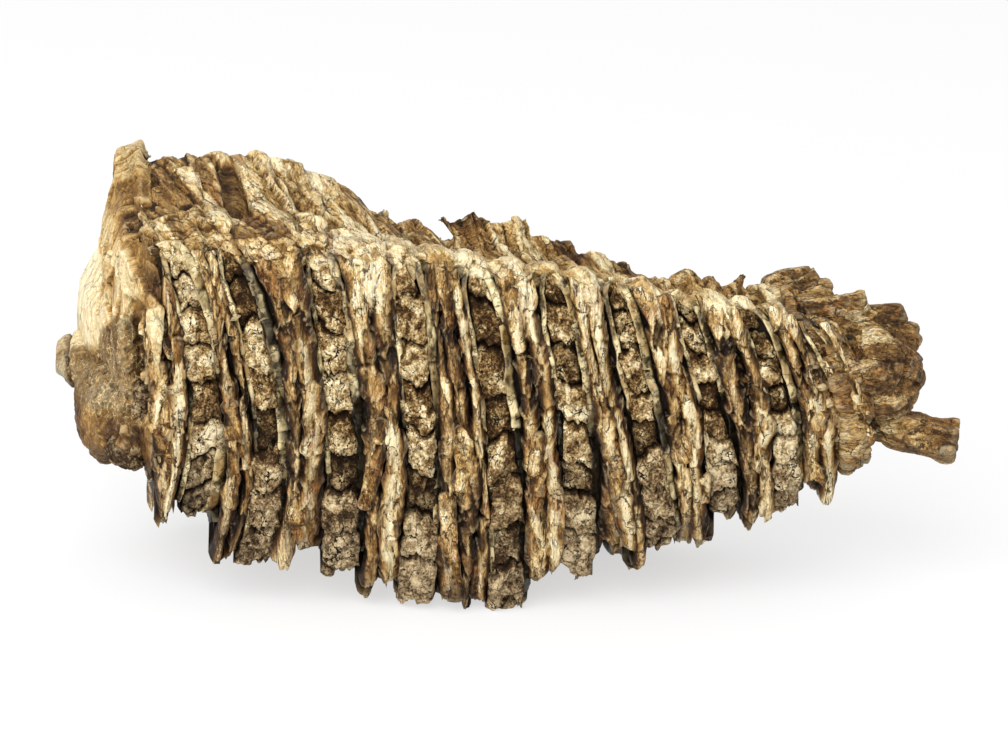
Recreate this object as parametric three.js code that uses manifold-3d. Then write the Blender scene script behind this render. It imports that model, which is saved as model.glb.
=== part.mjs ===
// A fossil mammoth molar, standing on its worn crown tips with the root base up, in millimetres, +Z up.
// X runs along the tooth, from the broad end (-X) to the narrow end (+X). -Y is the cheek side.
// The tooth is one grown piece: upright plates of dentine, joined by a root base along the top, with
// columns of cement in the valleys between them. Everything is fused into one solid.
import * as THREE from "three";
import { mergeVertices } from "three/addons/utils/BufferGeometryUtils.js";
import Module from "manifold-3d";

const wasm = await Module();
wasm.setup();

// ---- The bare form, as cross-sections across the tooth at stations along it.
// x: place of the station. cheek, tongue: how far out each flank stands in Y. shoulder: height of the
// cheek flank's top edge. rim: height of the root base's far edge, and rimY its place.
const STATIONS = [
  { x: -98, cheek: 6, tongue: 61, shoulder: 100, rim: 112.5, rimY: 57 },
  { x: -92, cheek: 4.5, tongue: 63, shoulder: 101, rim: 113, rimY: 57 },
  { x: -84, cheek: 3.5, tongue: 66, shoulder: 101.5, rim: 109.5, rimY: 58 },
  { x: -66, cheek: 2.5, tongue: 67, shoulder: 102, rim: 110.5, rimY: 58 },
  { x: -55, cheek: 2, tongue: 67, shoulder: 102, rim: 110.5, rimY: 57 },
  { x: -45, cheek: 1.5, tongue: 66, shoulder: 101.5, rim: 104, rimY: 55 },
  { x: -34, cheek: 0.5, tongue: 65, shoulder: 100.5, rim: 101.5, rimY: 53 },
  { x: -20, cheek: 0.2, tongue: 62, shoulder: 99.5, rim: 93.5, rimY: 50 },
  { x: 4, cheek: 0, tongue: 59, shoulder: 96.5, rim: 89, rimY: 46 },
  { x: 30, cheek: 2, tongue: 55, shoulder: 92.5, rim: 87, rimY: 42 },
  { x: 56, cheek: 4, tongue: 51, shoulder: 87, rim: 81, rimY: 38 },
  { x: 80, cheek: 6.5, tongue: 46, shoulder: 82.5, rim: 78, rimY: 35 },
  { x: 104, cheek: 11, tongue: 40, shoulder: 73, rim: 72, rimY: 31 },
];
const SHOULDER_SETBACK = 8; // the shoulder lies this far behind the cheek flank
const TIP_SETBACK = 3; // the tips lie this far inside each flank
const TIP_DEPTH = 13; // how far under the tooth a tip's own foot reaches
const HOLLOW_RISE = 5; // the underside rises this much between the two rows of tips
const SADDLE = 3; // the root base sinks this much between the shoulder and the rim
const SKEW = 0.12; // the plates run this much towards -X for each mm across the tooth

// ---- The plates, from the broad end to the narrow one. cheekTip and tongueTip are the heights at which
// each flank ends. Tips below zero are worn flat at the level on which the tooth stands.
const PLATES = [
  { cheekTip: 28.5, tongueTip: 15, proud: 1.5 },
  { cheekTip: 17.5, tongueTip: 8, proud: 0.9 },
  { cheekTip: 15, tongueTip: -1.5, proud: 1.6 },
  { cheekTip: 7.5, tongueTip: 0.5, proud: 1.0 },
  { cheekTip: -1.5, tongueTip: -1.5, proud: 1.5 },
  { cheekTip: 8, tongueTip: 1, proud: 1.1 },
  { cheekTip: 14, tongueTip: -1.5, proud: 1.4 },
  { cheekTip: 23.5, tongueTip: 8, proud: 1.0 },
  { cheekTip: 26.5, tongueTip: 16, proud: 1.5 },
  { cheekTip: 31.5, tongueTip: 26, proud: 0.9 },
  { cheekTip: 40, tongueTip: 36, proud: 0.6 },
];

// ---- The cement valleys, each between two plates. top, mid and tip are the X of its middle line at the
// shoulder, half-way down and at the tips, on the cheek flank. The cement in it is broken into blocks:
// blocks lists, from the tips up, how far each stands out of the bare form.
const VALLEYS = [
  {
    top: -86.1, mid: -77.6, tip: -81.6, half: 4.7, cheekTip: 25, tongueTip: 13,
    blocks: [-1.6, -1, 0.9, 1.5, 1.6, 1, -1.3, -0.2],
  },
  {
    top: -72.3, mid: -61.7, tip: -66.2, half: 4.4, cheekTip: 11, tongueTip: 3,
    blocks: [-0.2, 1.4, 0.4, -1.8, 2.4, 1.2, -1.4, -0.5],
  },
  {
    top: -47.7, mid: -42.4, tip: -42.9, half: 4.7, cheekTip: 11.5, tongueTip: 2,
    blocks: [2, 1.8, -1.6, 1, 0.6, 1.2, 0.4, -0.6],
  },
  {
    top: -25.2, mid: -21.5, tip: -22.5, half: 4.9, cheekTip: 3, tongueTip: -1.5,
    blocks: [2.2, 1.4, -1.8, 1.2, 1.6, 0.6, 1.4, 0.2],
  },
  {
    top: -7.2, mid: -0.5, tip: 1.3, half: 4.8, cheekTip: -1.5, tongueTip: 2,
    blocks: [1.6, -1.4, 2.2, 1, -1.8, 0.8, -2, -0.8],
  },
  {
    top: 12.5, mid: 19.1, tip: 20.7, half: 4.8, cheekTip: 10.5, tongueTip: -1.5,
    blocks: [1.2, 1.6, -1.6, 1.4, 1, -1.4, 0.6, -0.4],
  },
  {
    top: 29.7, mid: 37.6, tip: 43.2, half: 4.4, cheekTip: 17, tongueTip: 3,
    blocks: [-0.6, 1, 1.6, -1.6, 1.2, 1.4, -0.8, -0.6],
  },
  {
    top: 47.2, mid: 55.9, tip: 60.2, half: 4.1, cheekTip: 25, tongueTip: 12,
    blocks: [-1.2, 0.6, 1.4, 1.8, -1.4, 0.8, -0.6, -0.9],
  },
  {
    top: 64.9, mid: 74.5, tip: 76.3, half: 3.9, cheekTip: 26, tongueTip: 21,
    blocks: [0.8, 1.8, 2, 1.2, -1.2, 0.4, -1, -0.6],
  },
  {
    top: 80.3, mid: 91.4, tip: 93.5, half: 3.6, cheekTip: 38.5, tongueTip: 33,
    blocks: [0.6, 1, -1.2, 0.8, 0.6, -0.8, -0.4, -0.6],
  },
];
const GROOVE_DEPTH = 4.5; // the dark slit on each side of a cement column
const GROOVE_WALL = 0.8; // the slit's outer wall slopes over this width
const BREAK_DEPTH = 1.6; // the crack between two cement blocks

// ---- The broad end: an oblique broken face, fairly flat. Its far side runs out towards -X, most of all
// below the middle. Its foot stops well above the first plate's, and a gap parts the two.
const END_LINE = { top: -93.4, mid: -93.3, tip: -92.8 };
const END_FACE = { cheekTip: 52, tongueTip: 27, bulge: 3, step: 2.5, spread: 10.5, from: 95, full: 68 };
const END_GAP = { width: 2.2, depth: 7, cheekTip: 46, tongueTip: 24 };

// ---- Root stubs: broken root walls and canals along the far side of the base. r0 is the radius where
// they leave the base, and r1 at their broken ends.
const ROOT_STUBS = [
  { from: [-64, 52, 102.5], to: [-44, 51, 97.5], r0: 6, r1: 4.2 },
  { from: [-52, 44, 98.5], to: [-31, 46, 93], r0: 5, r1: 3.4 },
  { from: [-70, 40, 101], to: [-56, 45, 104], r0: 5, r1: 3 },
  { from: [-33, 40, 87], to: [-24, 46, 93.5], r0: 4.5, r1: 3 },
  { from: [-7, 38, 89], to: [-17.5, 42, 97.5], r0: 3, r1: 1.7 },
  { from: [-5, 38, 86], to: [-10, 43, 98], r0: 6.5, r1: 3.3 },
  { from: [-7, 40, 90], to: [7, 43, 93.5], r0: 4.5, r1: 3.6 },
  { from: [4, 40, 87], to: [19, 42, 88.5], r0: 5, r1: 3.2 },
  { from: [16, 38, 84], to: [34, 38, 83.5], r0: 5, r1: 3 },
  { from: [42, 30, 77], to: [52, 35, 82], r0: 5.5, r1: 4.4 },
  { from: [51, 30, 77], to: [57.5, 34, 82.5], r0: 4.5, r1: 2.8 },
  { from: [58, 30, 76], to: [64.5, 34, 84], r0: 4, r1: 1.5 },
  { from: [61, 31, 75], to: [68.5, 34, 79], r0: 4, r1: 2.6 },
  { from: [68, 29, 77], to: [83.5, 34, 81.5], r0: 5.5, r1: 4.3 },
  { from: [75, 27, 77], to: [87, 30, 80], r0: 4.5, r1: 3.4 },
  { from: [79, 23, 75], to: [95.5, 27, 77.5], r0: 5, r1: 3.3 },
  { from: [84, 24, 70], to: [106.5, 27, 73.5], r0: 6.4, r1: 3.9 },
  { from: [90, 22, 68], to: [110, 25, 69], r0: 6, r1: 3.4 },
  { from: [92, 20, 64], to: [109, 22, 64.5], r0: 6, r1: 3.2 },
  { from: [84, 23, 50.5], to: [119.5, 14, 43.5], r0: 5.6, r1: 4.9 },
];
const STUB_SIDES = 7;
const SMALLEST_EDGE = 0.08; // slivers left where solids join are tidied away below this size

// ---- Lumps: rounded masses that are part of the same growth.
const LUMPS = [
  { at: [-104.5, 27, 47], size: [8.5, 16, 14], turn: 0.35 }, // the lobe at the foot of the broad end
  { at: [-98.5, 16, 47.5], size: [6.3, 9, 11.5], turn: 0 }, // a broken corner beside the lobe
  { at: [-116, 50, 52], size: [6.5, 9, 7.5], turn: 0.2 }, // a knob on the far edge of the broad end
  { at: [99, 21, 60.5], size: [11, 12, 13], turn: 0.2 }, // the spongy root mass of the narrow end
  { at: [107, 20, 61], size: [5, 6, 5], turn: 0 }, // a knob on that mass
];

// A repeatable number from -1 to 1 for a pair of counts.
function rough(a, b) {
  const s = Math.sin(a * 127.1 + b * 311.7) * 43758.5453;
  return 2 * (s - Math.floor(s)) - 1;
}

// The bare form's sizes at any x, between its stations.
function formAt(x) {
  const last = STATIONS.length - 2;
  const i = Math.min(last, Math.max(0, STATIONS.findIndex((s) => s.x > x) - 1));
  const [a, b] = [STATIONS[i], STATIONS[i + 1]];
  const share = Math.min(1, Math.max(0, (x - a.x) / (b.x - a.x)));
  const mix = (key) => a[key] + (b[key] - a[key]) * share;
  return {
    cheek: mix("cheek"),
    tongue: mix("tongue"),
    shoulder: mix("shoulder"),
    rim: mix("rim"),
    rimY: mix("rimY"),
  };
}

// One ring of points round the tooth: up the cheek flank, over the base, down the tongue flank and back
// under. Each point has its place, its height share (0 at the tips, 1 at the shoulder) and its side.
const STEPS = { cheek: 5, top: 2, rim: 3, tongue: 3, under: 1 };
function ringAt(x, cheekTip, tongueTip) {
  const f = formAt(x);
  const cheekRise = f.shoulder - cheekTip;
  const tongueRise = f.rim - tongueTip;
  const knots = [
    [f.cheek + TIP_SETBACK, cheekTip, 0, "cheek"],
    [f.cheek, cheekTip + 0.32 * cheekRise, 0.32, "cheek"],
    [f.cheek + 1, cheekTip + 0.68 * cheekRise, 0.68, "cheek"],
    [f.cheek + SHOULDER_SETBACK, f.shoulder, 1, "top"],
    [(f.cheek + SHOULDER_SETBACK + f.rimY) / 2, (f.shoulder + f.rim) / 2 - SADDLE, 1, "top"],
    [f.rimY, f.rim, 1, "rim"],
    [f.tongue - 1, tongueTip + 0.66 * tongueRise, 0.66, "tongue"],
    [f.tongue, tongueTip + 0.32 * tongueRise, 0.32, "tongue"],
    [f.tongue - TIP_SETBACK, tongueTip, 0, "under"],
    [f.tongue - TIP_SETBACK - TIP_DEPTH, tongueTip + 1, 0, "under"],
    [(f.cheek + f.tongue) / 2, Math.max(cheekTip, tongueTip) + HOLLOW_RISE, 0, "under"],
    [f.cheek + TIP_SETBACK + TIP_DEPTH, cheekTip + 1, 0, "under"],
  ];
  const curve = new THREE.CatmullRomCurve3(
    knots.map(([y, z, t]) => new THREE.Vector3(y, z, t)),
    true,
    "centripetal",
  );
  return knots.flatMap(([, , , side], k) =>
    Array.from({ length: STEPS[side] }, (_, n) => {
      const p = curve.getPoint((k + n / STEPS[side]) / knots.length);
      return { y: p.x, z: p.y, t: Math.min(1, Math.max(0, p.z)), side };
    }),
  );
}

// The X of a middle line at height share t: a smooth arc through its three places.
function lineAt(line, t) {
  return line.tip * (1 - t) * (1 - 2 * t) + line.mid * 4 * t * (1 - t) + line.top * t * (2 * t - 1);
}

// Rows of the net, from the broad end to the narrow one. at gives a row's X at height share t, and out
// how far the surface stands out of the bare form there.
const rows = [];
const onPlate = { cheek: 1, tongue: 1, rim: 0.6, top: 0.7, under: 1.6 };
const inValley = { cheek: 1, tongue: 1, rim: 0.25, top: 0.3, under: 1 };
const besideEnd = { cheek: 1, tongue: 0.3, rim: 0.1, top: 0, under: 0.6 };

function addPlateRows(i) {
  const plate = PLATES[i];
  const left = i === 0 ? END_LINE : VALLEYS[i - 1];
  const right = VALLEYS[i] ?? { top: 92, mid: 100, tip: 99, half: 2 };
  const shares = [0, 0.36 + 0.08 * rough(i, 3), 0.68 + 0.08 * rough(i, 4), 1];
  shares.forEach((share, n) => {
    const edge = share === 0 || share === 1;
    const crest = edge ? -0.4 : plate.proud + 0.6 * rough(i, n);
    rows.push({
      at: (t) => {
        const from = lineAt(left, t) + (i === 0 ? 0 : left.half + GROOVE_WALL);
        const to = lineAt(right, t) - right.half - GROOVE_WALL;
        return from + (to - from) * share;
      },
      out: (p, k) => (crest + 0.9 * rough(k + 3 * i, n)) * onPlate[p.side],
      cheekTip: plate.cheekTip + (plate.cheekTip > 0 ? 2.4 * rough(n, i) : 0),
      tongueTip: plate.tongueTip + 1.2 * rough(n + 5, i),
    });
  });
}

// The relief of a cement column: blocks with a crack between each two, listed the other way up on the
// tongue flank.
function blockAt(blocks, t, side) {
  const place = Math.min(blocks.length - 0.01, t * blocks.length);
  const n = Math.floor(place);
  const cracked = place - n < 0.3 && n > 0 ? BREAK_DEPTH : 0;
  return (side === "cheek" ? blocks[n] : blocks[blocks.length - 1 - n]) - cracked;
}

function addValleyRows(i) {
  const valley = VALLEYS[i];
  [-1, -0.62, 0, 0.62, 1].forEach((share, n) => {
    const groove = Math.abs(share) === 1;
    rows.push({
      at: (t) => lineAt(valley, t) + share * valley.half * (0.72 + 0.28 * Math.sin(Math.PI * Math.min(t, 0.9))),
      out: (p, k) => {
        const lump = blockAt(valley.blocks, p.t, p.side) + 0.5 * rough(k + 9 * i, n) + (share === 0 ? 0.6 : 0);
        return (groove ? -GROOVE_DEPTH : lump) * inValley[p.side] - (p.side === "under" ? 1.5 : 0);
      },
      cheekTip: valley.cheekTip + (groove ? 3 : 0) + rough(n, i + 20),
      tongueTip: valley.tongueTip + (groove ? 3 : 0) + rough(n, i + 40),
    });
  });
}

rows.push({
  at: (t) => lineAt(END_LINE, t) - END_GAP.width - END_FACE.step,
  out: (p, k) => -0.7 * END_GAP.depth * besideEnd[p.side] + 0.5 * rough(k, 77),
  cheekTip: END_FACE.cheekTip,
  tongueTip: END_FACE.tongueTip,
});
rows.push({
  at: (t) => lineAt(END_LINE, t) - END_GAP.width,
  out: (p) => -END_GAP.depth * Math.sin(Math.PI * p.t) * besideEnd[p.side],
  cheekTip: END_GAP.cheekTip,
  tongueTip: END_GAP.tongueTip,
});
PLATES.forEach((_, i) => {
  addPlateRows(i);
  if (i < VALLEYS.length) addValleyRows(i);
});

// The net's points: each row's ring, pushed out of the bare form by the row's own relief.
function pointsOf(row) {
  const ring = ringAt(row.at(0.5), row.cheekTip, row.tongueTip);
  return ring.map((p, k) => {
    const before = ring[(k + ring.length - 1) % ring.length];
    const after = ring[(k + 1) % ring.length];
    const run = new THREE.Vector2(after.y - before.y, after.z - before.z).normalize();
    const out = row.out(p, k);
    return new THREE.Vector3(row.at(p.t) - SKEW * p.y, p.y - run.y * out, p.z + run.x * out);
  });
}

// The two end faces are domed in two steps, with an inner ring and a middle point.
function domed(ring, bulge) {
  const middle = ring.reduce((sum, p) => sum.add(p), new THREE.Vector3()).divideScalar(ring.length);
  const inner = ring.map((p) => p.clone().lerp(middle, 0.45).add(new THREE.Vector3(bulge * 0.7, 0, 0)));
  return { inner, middle: middle.clone().add(new THREE.Vector3(bulge, 0, 0)) };
}

function netSolid() {
  const rings = rows.map(pointsOf);
  for (const p of rings[0]) {
    const low = THREE.MathUtils.smoothstep(END_FACE.from - p.z, 0, END_FACE.from - END_FACE.full);
    p.x -= END_FACE.spread * low * Math.max(0, p.y / 58);
  }
  const low = domed(rings[0], -END_FACE.bulge);
  const high = domed(rings[rings.length - 1], 3);
  const all = [[low.middle], low.inner, ...rings, high.inner, [high.middle]];
  const positions = [];
  const face = (...corners) => corners.forEach((c) => positions.push(c.x, c.y, c.z));
  for (let r = 0; r + 1 < all.length; r++) {
    const [a, b] = [all[r], all[r + 1]];
    const n = Math.max(a.length, b.length);
    for (let k = 0; k < n; k++) {
      const [a0, a1] = [a[k % a.length], a[(k + 1) % a.length]];
      const [b0, b1] = [b[k % b.length], b[(k + 1) % b.length]];
      if (a.length > 1) face(a0, b0, a1);
      if (b.length > 1) face(a1, b0, b1);
    }
  }
  const g = new THREE.BufferGeometry();
  g.setAttribute("position", new THREE.Float32BufferAttribute(positions, 3));
  return g;
}

// ---- Solids from geometries.
function solidOf(geometry) {
  const bare = geometry.clone();
  bare.deleteAttribute("normal");
  bare.deleteAttribute("uv");
  const merged = mergeVertices(bare, 1e-4);
  return new wasm.Manifold(
    new wasm.Mesh({
      numProp: 3,
      vertProperties: merged.attributes.position.array,
      triVerts: new Uint32Array(merged.index.array),
    }),
  );
}

function geometryOf(solid) {
  const mesh = solid.getMesh();
  const g = new THREE.BufferGeometry();
  g.setAttribute("position", new THREE.BufferAttribute(mesh.vertProperties, 3));
  g.setIndex(new THREE.BufferAttribute(mesh.triVerts, 1));
  return g;
}

// A broken root: a tapered tube of uneven section, with a ragged end.
function stubSolid(stub, i) {
  const from = new THREE.Vector3(...stub.from);
  const to = new THREE.Vector3(...stub.to);
  const g = new THREE.CylinderGeometry(stub.r1, stub.r0, from.distanceTo(to), STUB_SIDES, 2);
  const bare = mergeVertices(g.deleteAttribute("normal").deleteAttribute("uv"), 1e-4);
  const p = bare.attributes.position;
  for (let k = 0; k < p.count; k++) {
    const swell = 1 + 0.22 * rough(k, i);
    p.setXYZ(k, p.getX(k) * swell, p.getY(k) + 0.8 * rough(i, k), p.getZ(k) * swell);
  }
  const along = to.clone().sub(from).normalize();
  bare.applyQuaternion(new THREE.Quaternion().setFromUnitVectors(new THREE.Vector3(0, 1, 0), along));
  bare.translate(...from.add(to).multiplyScalar(0.5));
  return solidOf(bare);
}

// A rounded mass with a lumpy surface.
function lumpSolid(lump, i) {
  const g = new THREE.SphereGeometry(1, 12, 8);
  const bare = mergeVertices(g.deleteAttribute("normal").deleteAttribute("uv"), 1e-4);
  const p = bare.attributes.position;
  for (let k = 0; k < p.count; k++) {
    const swell = 1 + 0.1 * rough(k, i + 50);
    p.setXYZ(k, p.getX(k) * swell, p.getY(k) * swell, p.getZ(k) * swell);
  }
  bare.scale(...lump.size).rotateZ(lump.turn).translate(...lump.at);
  return solidOf(bare);
}

// ---- The tooth, fused, and worn flat where it stands.
function toothSolid() {
  let tooth = solidOf(netSolid());
  ROOT_STUBS.forEach((stub, i) => (tooth = tooth.add(stubSolid(stub, i))));
  LUMPS.forEach((lump, i) => (tooth = tooth.add(lumpSolid(lump, i))));
  const ground = new THREE.BoxGeometry(400, 300, 40).translate(0, 30, -20);
  return tooth.subtract(solidOf(ground)).simplify(SMALLEST_EDGE);
}

const dentine = new THREE.MeshStandardMaterial({ color: "#b08c5a", roughness: 0.85, metalness: 0 });
const tooth = new THREE.Mesh(geometryOf(toothSolid()), dentine);
tooth.name = "mammoth_tooth";

// The origin is under the middle of the tooth's box, on the surface it stands on.
tooth.geometry.computeBoundingBox();
const box = tooth.geometry.boundingBox;
tooth.position.set(-(box.min.x + box.max.x) / 2, -(box.min.y + box.max.y) / 2, -box.min.z);

const group = new THREE.Group();
group.add(tooth);
export default group;
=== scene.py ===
# A fossil mammoth molar, dressed tissue by tissue: the dark matrix inside it, its dentine plates, cement
# columns and enamel bands, the root base over them, and its two broken ends. All ride on the tooth's body.
import math

import bpy
import numpy as np
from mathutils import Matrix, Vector


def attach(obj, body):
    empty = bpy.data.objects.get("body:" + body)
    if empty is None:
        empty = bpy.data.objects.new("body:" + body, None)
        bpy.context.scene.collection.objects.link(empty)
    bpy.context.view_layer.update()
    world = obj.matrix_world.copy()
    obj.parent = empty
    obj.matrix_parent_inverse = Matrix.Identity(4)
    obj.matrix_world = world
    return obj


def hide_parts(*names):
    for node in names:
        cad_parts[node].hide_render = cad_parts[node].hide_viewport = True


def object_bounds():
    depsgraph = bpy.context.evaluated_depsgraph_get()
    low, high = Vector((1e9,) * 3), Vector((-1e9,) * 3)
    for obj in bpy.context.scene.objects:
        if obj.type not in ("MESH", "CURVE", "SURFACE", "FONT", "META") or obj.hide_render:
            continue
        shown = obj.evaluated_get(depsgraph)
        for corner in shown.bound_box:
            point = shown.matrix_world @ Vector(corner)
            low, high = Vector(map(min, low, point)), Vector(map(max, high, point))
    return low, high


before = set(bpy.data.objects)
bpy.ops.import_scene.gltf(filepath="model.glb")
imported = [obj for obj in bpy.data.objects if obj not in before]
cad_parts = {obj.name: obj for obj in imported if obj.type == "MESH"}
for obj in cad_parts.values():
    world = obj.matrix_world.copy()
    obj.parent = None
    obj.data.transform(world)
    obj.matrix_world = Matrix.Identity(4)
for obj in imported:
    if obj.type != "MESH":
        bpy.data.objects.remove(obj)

cad_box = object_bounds()
bpy.ops.object.select_all(action="DESELECT")

# ---- Dark inside.
# Behind the slits between its tissues the tooth is filled with a nearly black core: painted shade that stands
# in for the shadow deep in the slits. It has the form of the whole tooth, a little smaller.
#
# The tables give the bare form, in millimetres, at stations along the tooth, the plates and the valleys
# between them. They are measured from the foot of the cheek flank, half-way along, which lies at ORIGIN.
MM = 0.001
ORIGIN = np.array([-0.635, 33.743])
STATION_X = np.array([-98, -92, -84, -66, -55, -45, -34, -20, 4, 30, 56, 80, 104])
CHEEK_Y = np.array([6, 4.5, 3.5, 2.5, 2, 1.5, 0.5, 0.2, 0, 2, 4, 6.5, 11])
TONGUE_Y = np.array([61, 63, 66, 67, 67, 66, 65, 62, 59, 55, 51, 46, 40])
SHOULDER_Z = np.array([100, 101, 101.5, 102, 102, 101.5, 100.5, 99.5, 96.5, 92.5, 87, 82.5, 73])
RIM_Z = np.array([112.5, 113, 109.5, 110.5, 110.5, 104, 101.5, 93.5, 89, 87, 81, 78, 72])
RIM_Y = np.array([57, 57, 58, 58, 57, 55, 53, 50, 46, 42, 38, 35, 31])
PLATES = [  # height of the cheek tip, height of the tongue tip, how proud the plate stands
    (28.5, 15, 1.5), (17.5, 8, 0.9), (15, 0, 1.6), (7.5, 0.5, 1.0), (0, 0, 1.5), (8, 1, 1.1),
    (14, 0, 1.4), (23.5, 8, 1.0), (26.5, 16, 1.5), (31.5, 26, 0.9), (40, 36, 0.6),
]
VALLEYS = [  # X at the shoulder, half-way and at the tips, half width, cheek tip, tongue tip
    (-86.1, -77.6, -81.6, 4.7, 25, 13), (-72.3, -61.7, -66.2, 4.4, 11, 3),
    (-47.7, -42.4, -42.9, 4.7, 11.5, 2), (-25.2, -21.5, -22.5, 4.9, 3, 0),
    (-7.2, -0.5, 1.3, 4.8, 0, 2), (12.5, 19.1, 20.7, 4.8, 10.5, 0),
    (29.7, 37.6, 43.2, 4.4, 17, 3), (47.2, 55.9, 60.2, 4.1, 25, 12),
    (64.9, 74.5, 76.3, 3.9, 26, 21), (80.3, 91.4, 93.5, 3.6, 38.5, 33),
]
LEFT_EDGE = (-93.4, -93.3, -92.6, 0)  # where the first plate starts, at the broad end
RIGHT_EDGE = (92, 99, 97, 2)  # where the last plate ends
SKEW = 0.12  # the plates run this much towards -X for each millimetre across the tooth
SHOULDER_SETBACK = 8
TIP_SETBACK = 3
TIP_DEPTH = 13
HOLLOW_RISE = 5
SADDLE = 3
# How many points a ring has from each of its knots to the next: dense where it shows.
RING_STEPS = [58, 58, 58, 6, 6, 42, 42, 42, 16, 3, 3, 16]
SEGMENT = np.repeat(np.arange(12), RING_STEPS)
ALONG = np.concatenate([np.arange(n) / n for n in RING_STEPS])[:, None]


def line_at(line, t):
    """The X of a plate's or valley's line at height share t, through its three places."""
    top, mid, tip = line[:3]
    return tip * (1 - t) * (1 - 2 * t) + mid * 4 * t * (1 - t) + top * t * (2 * t - 1)


def ring(x, cheek_tip, tongue_tip):
    """One cross-section of the bare form: rows of y, z, t, outward ny and nz, and length u round it."""
    cheek, tongue, shoulder, rim, rim_y = (
        np.interp(x, STATION_X, table) for table in (CHEEK_Y, TONGUE_Y, SHOULDER_Z, RIM_Z, RIM_Y)
    )
    rise, far_rise = shoulder - cheek_tip, rim - tongue_tip
    shelf = cheek + SHOULDER_SETBACK
    knots = np.array([
        [cheek + TIP_SETBACK, cheek_tip, 0],
        [cheek, cheek_tip + 0.32 * rise, 0.32],
        [cheek + 1, cheek_tip + 0.68 * rise, 0.68],
        [shelf, shoulder, 1],
        [(shelf + rim_y) / 2, (shoulder + rim) / 2 - SADDLE, 1],
        [rim_y, rim, 1],
        [tongue - 1, tongue_tip + 0.66 * far_rise, 0.66],
        [tongue, tongue_tip + 0.32 * far_rise, 0.32],
        [tongue - TIP_SETBACK, tongue_tip, 0],
        [tongue - TIP_SETBACK - TIP_DEPTH, tongue_tip + 1, 0],
        [(cheek + tongue) / 2, max(cheek_tip, tongue_tip) + HOLLOW_RISE, 0],
        [cheek + TIP_SETBACK + TIP_DEPTH, cheek_tip + 1, 0],
    ])
    before, after, beyond = np.roll(knots, 1, 0), np.roll(knots, -1, 0), np.roll(knots, -2, 0)
    gaps = [
        np.linalg.norm(b - a, axis=1, keepdims=True) ** 0.5
        for a, b in ((before, knots), (knots, after), (after, beyond))
    ]
    start = ((knots - before) / gaps[0] - (after - before) / (gaps[0] + gaps[1])) * gaps[1] + after - knots
    end = after - knots - ((beyond - knots) / (gaps[1] + gaps[2]) - (beyond - after) / gaps[2]) * gaps[1]
    square = -3 * knots + 3 * after - 2 * start - end
    cube = 2 * knots - 2 * after + start + end
    points = knots[SEGMENT] + (start[SEGMENT] + (square[SEGMENT] + cube[SEGMENT] * ALONG) * ALONG) * ALONG
    run = np.roll(points, -1, 0) - np.roll(points, 1, 0)
    run = run / np.linalg.norm(run[:, :2], axis=1, keepdims=True)
    step = np.linalg.norm(np.diff(points[:, :2], axis=0), axis=1)
    u = np.concatenate([[0], np.cumsum(step)])
    return points[:, 0], points[:, 1], np.clip(points[:, 2], 0, 1), -run[:, 1], run[:, 0], u


def hashed(*cells):
    """A repeatable number from 0 to 1 for each set of whole numbers."""
    h = np.full(np.broadcast(*cells).shape, 2166136261, np.uint32)
    with np.errstate(over="ignore"):
        for cell in cells:
            h = (h ^ np.asarray(cell).astype(np.int64).astype(np.uint32)) * np.uint32(2654435761)
            h ^= h >> np.uint32(15)
    return h / 4294967295.0


def noise(points, seed=0):
    """Smooth noise from -1 to 1. points is a list of coordinate arrays, one for each direction."""
    whole = [np.floor(p) for p in points]
    part = [p - w for p, w in zip(points, whole)]
    ease = [f * f * f * (f * (f * 6 - 15) + 10) for f in part]
    total = 0
    for corner in range(2 ** len(points)):
        bits = [corner >> n & 1 for n in range(len(points))]
        weight = 1
        for bit, e in zip(bits, ease):
            weight = weight * (e if bit else 1 - e)
        total = total + weight * hashed(*(w + b for w, b in zip(whole, bits)), seed)
    return 2 * total - 1


def rough(points, seed=0, octaves=4, gain=0.5):
    """Noise at several scales, each half the size of the one before."""
    total, size = 0, 1
    for n in range(octaves):
        total = total + size * noise([p * 2 ** n + 7.3 * n for p in points], seed + n)
        size *= gain
    return total


def smooth(low, high, value):
    """0 below low, 1 above high, and smooth between them."""
    f = np.clip((value - low) / (high - low), 0, 1)
    return f * f * (3 - 2 * f)


def set_values(piece, name, values):
    """Keeps a number, or a set of three, at each of a mesh's points for its material to read."""
    kind = "FLOAT_VECTOR" if values.ndim == 2 else "FLOAT"
    layer = piece.data.attributes.new(name, kind, "POINT")
    layer.data.foreach_set("vector" if values.ndim == 2 else "value", values.astype(np.float32).reshape(-1))


def set_shape(piece, place):
    """Puts a mesh's points at their places, in millimetres from the tables' origin, inside the CAD box."""
    place = place.copy()
    place[:, :2] -= ORIGIN
    place = np.clip(place * MM, np.array(cad_box[0]) + 1e-6, np.array(cad_box[1]) - 1e-6)
    piece.data.vertices.foreach_set("co", place.astype(np.float32).reshape(-1))
    piece.data.update()


def turned_out(piece):
    """Faces that point inwards are turned round, and all are shaded smooth."""
    mesh = piece.data
    mesh.calc_loop_triangles()
    corners = np.empty(len(mesh.loop_triangles) * 3, np.int32)
    mesh.loop_triangles.foreach_get("vertices", corners)
    place = np.empty(len(mesh.vertices) * 3, np.float32)
    mesh.vertices.foreach_get("co", place)
    a, b, c = place.reshape(-1, 3)[corners.reshape(-1, 3)].transpose(1, 0, 2).astype(np.float64)
    a, b, c = (corner - place.reshape(-1, 3).mean(0) for corner in (a, b, c))
    if np.einsum("ij,ij->", a, np.cross(b, c)) < 0:
        mesh.flip_normals()
    mesh.shade_smooth()


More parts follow.
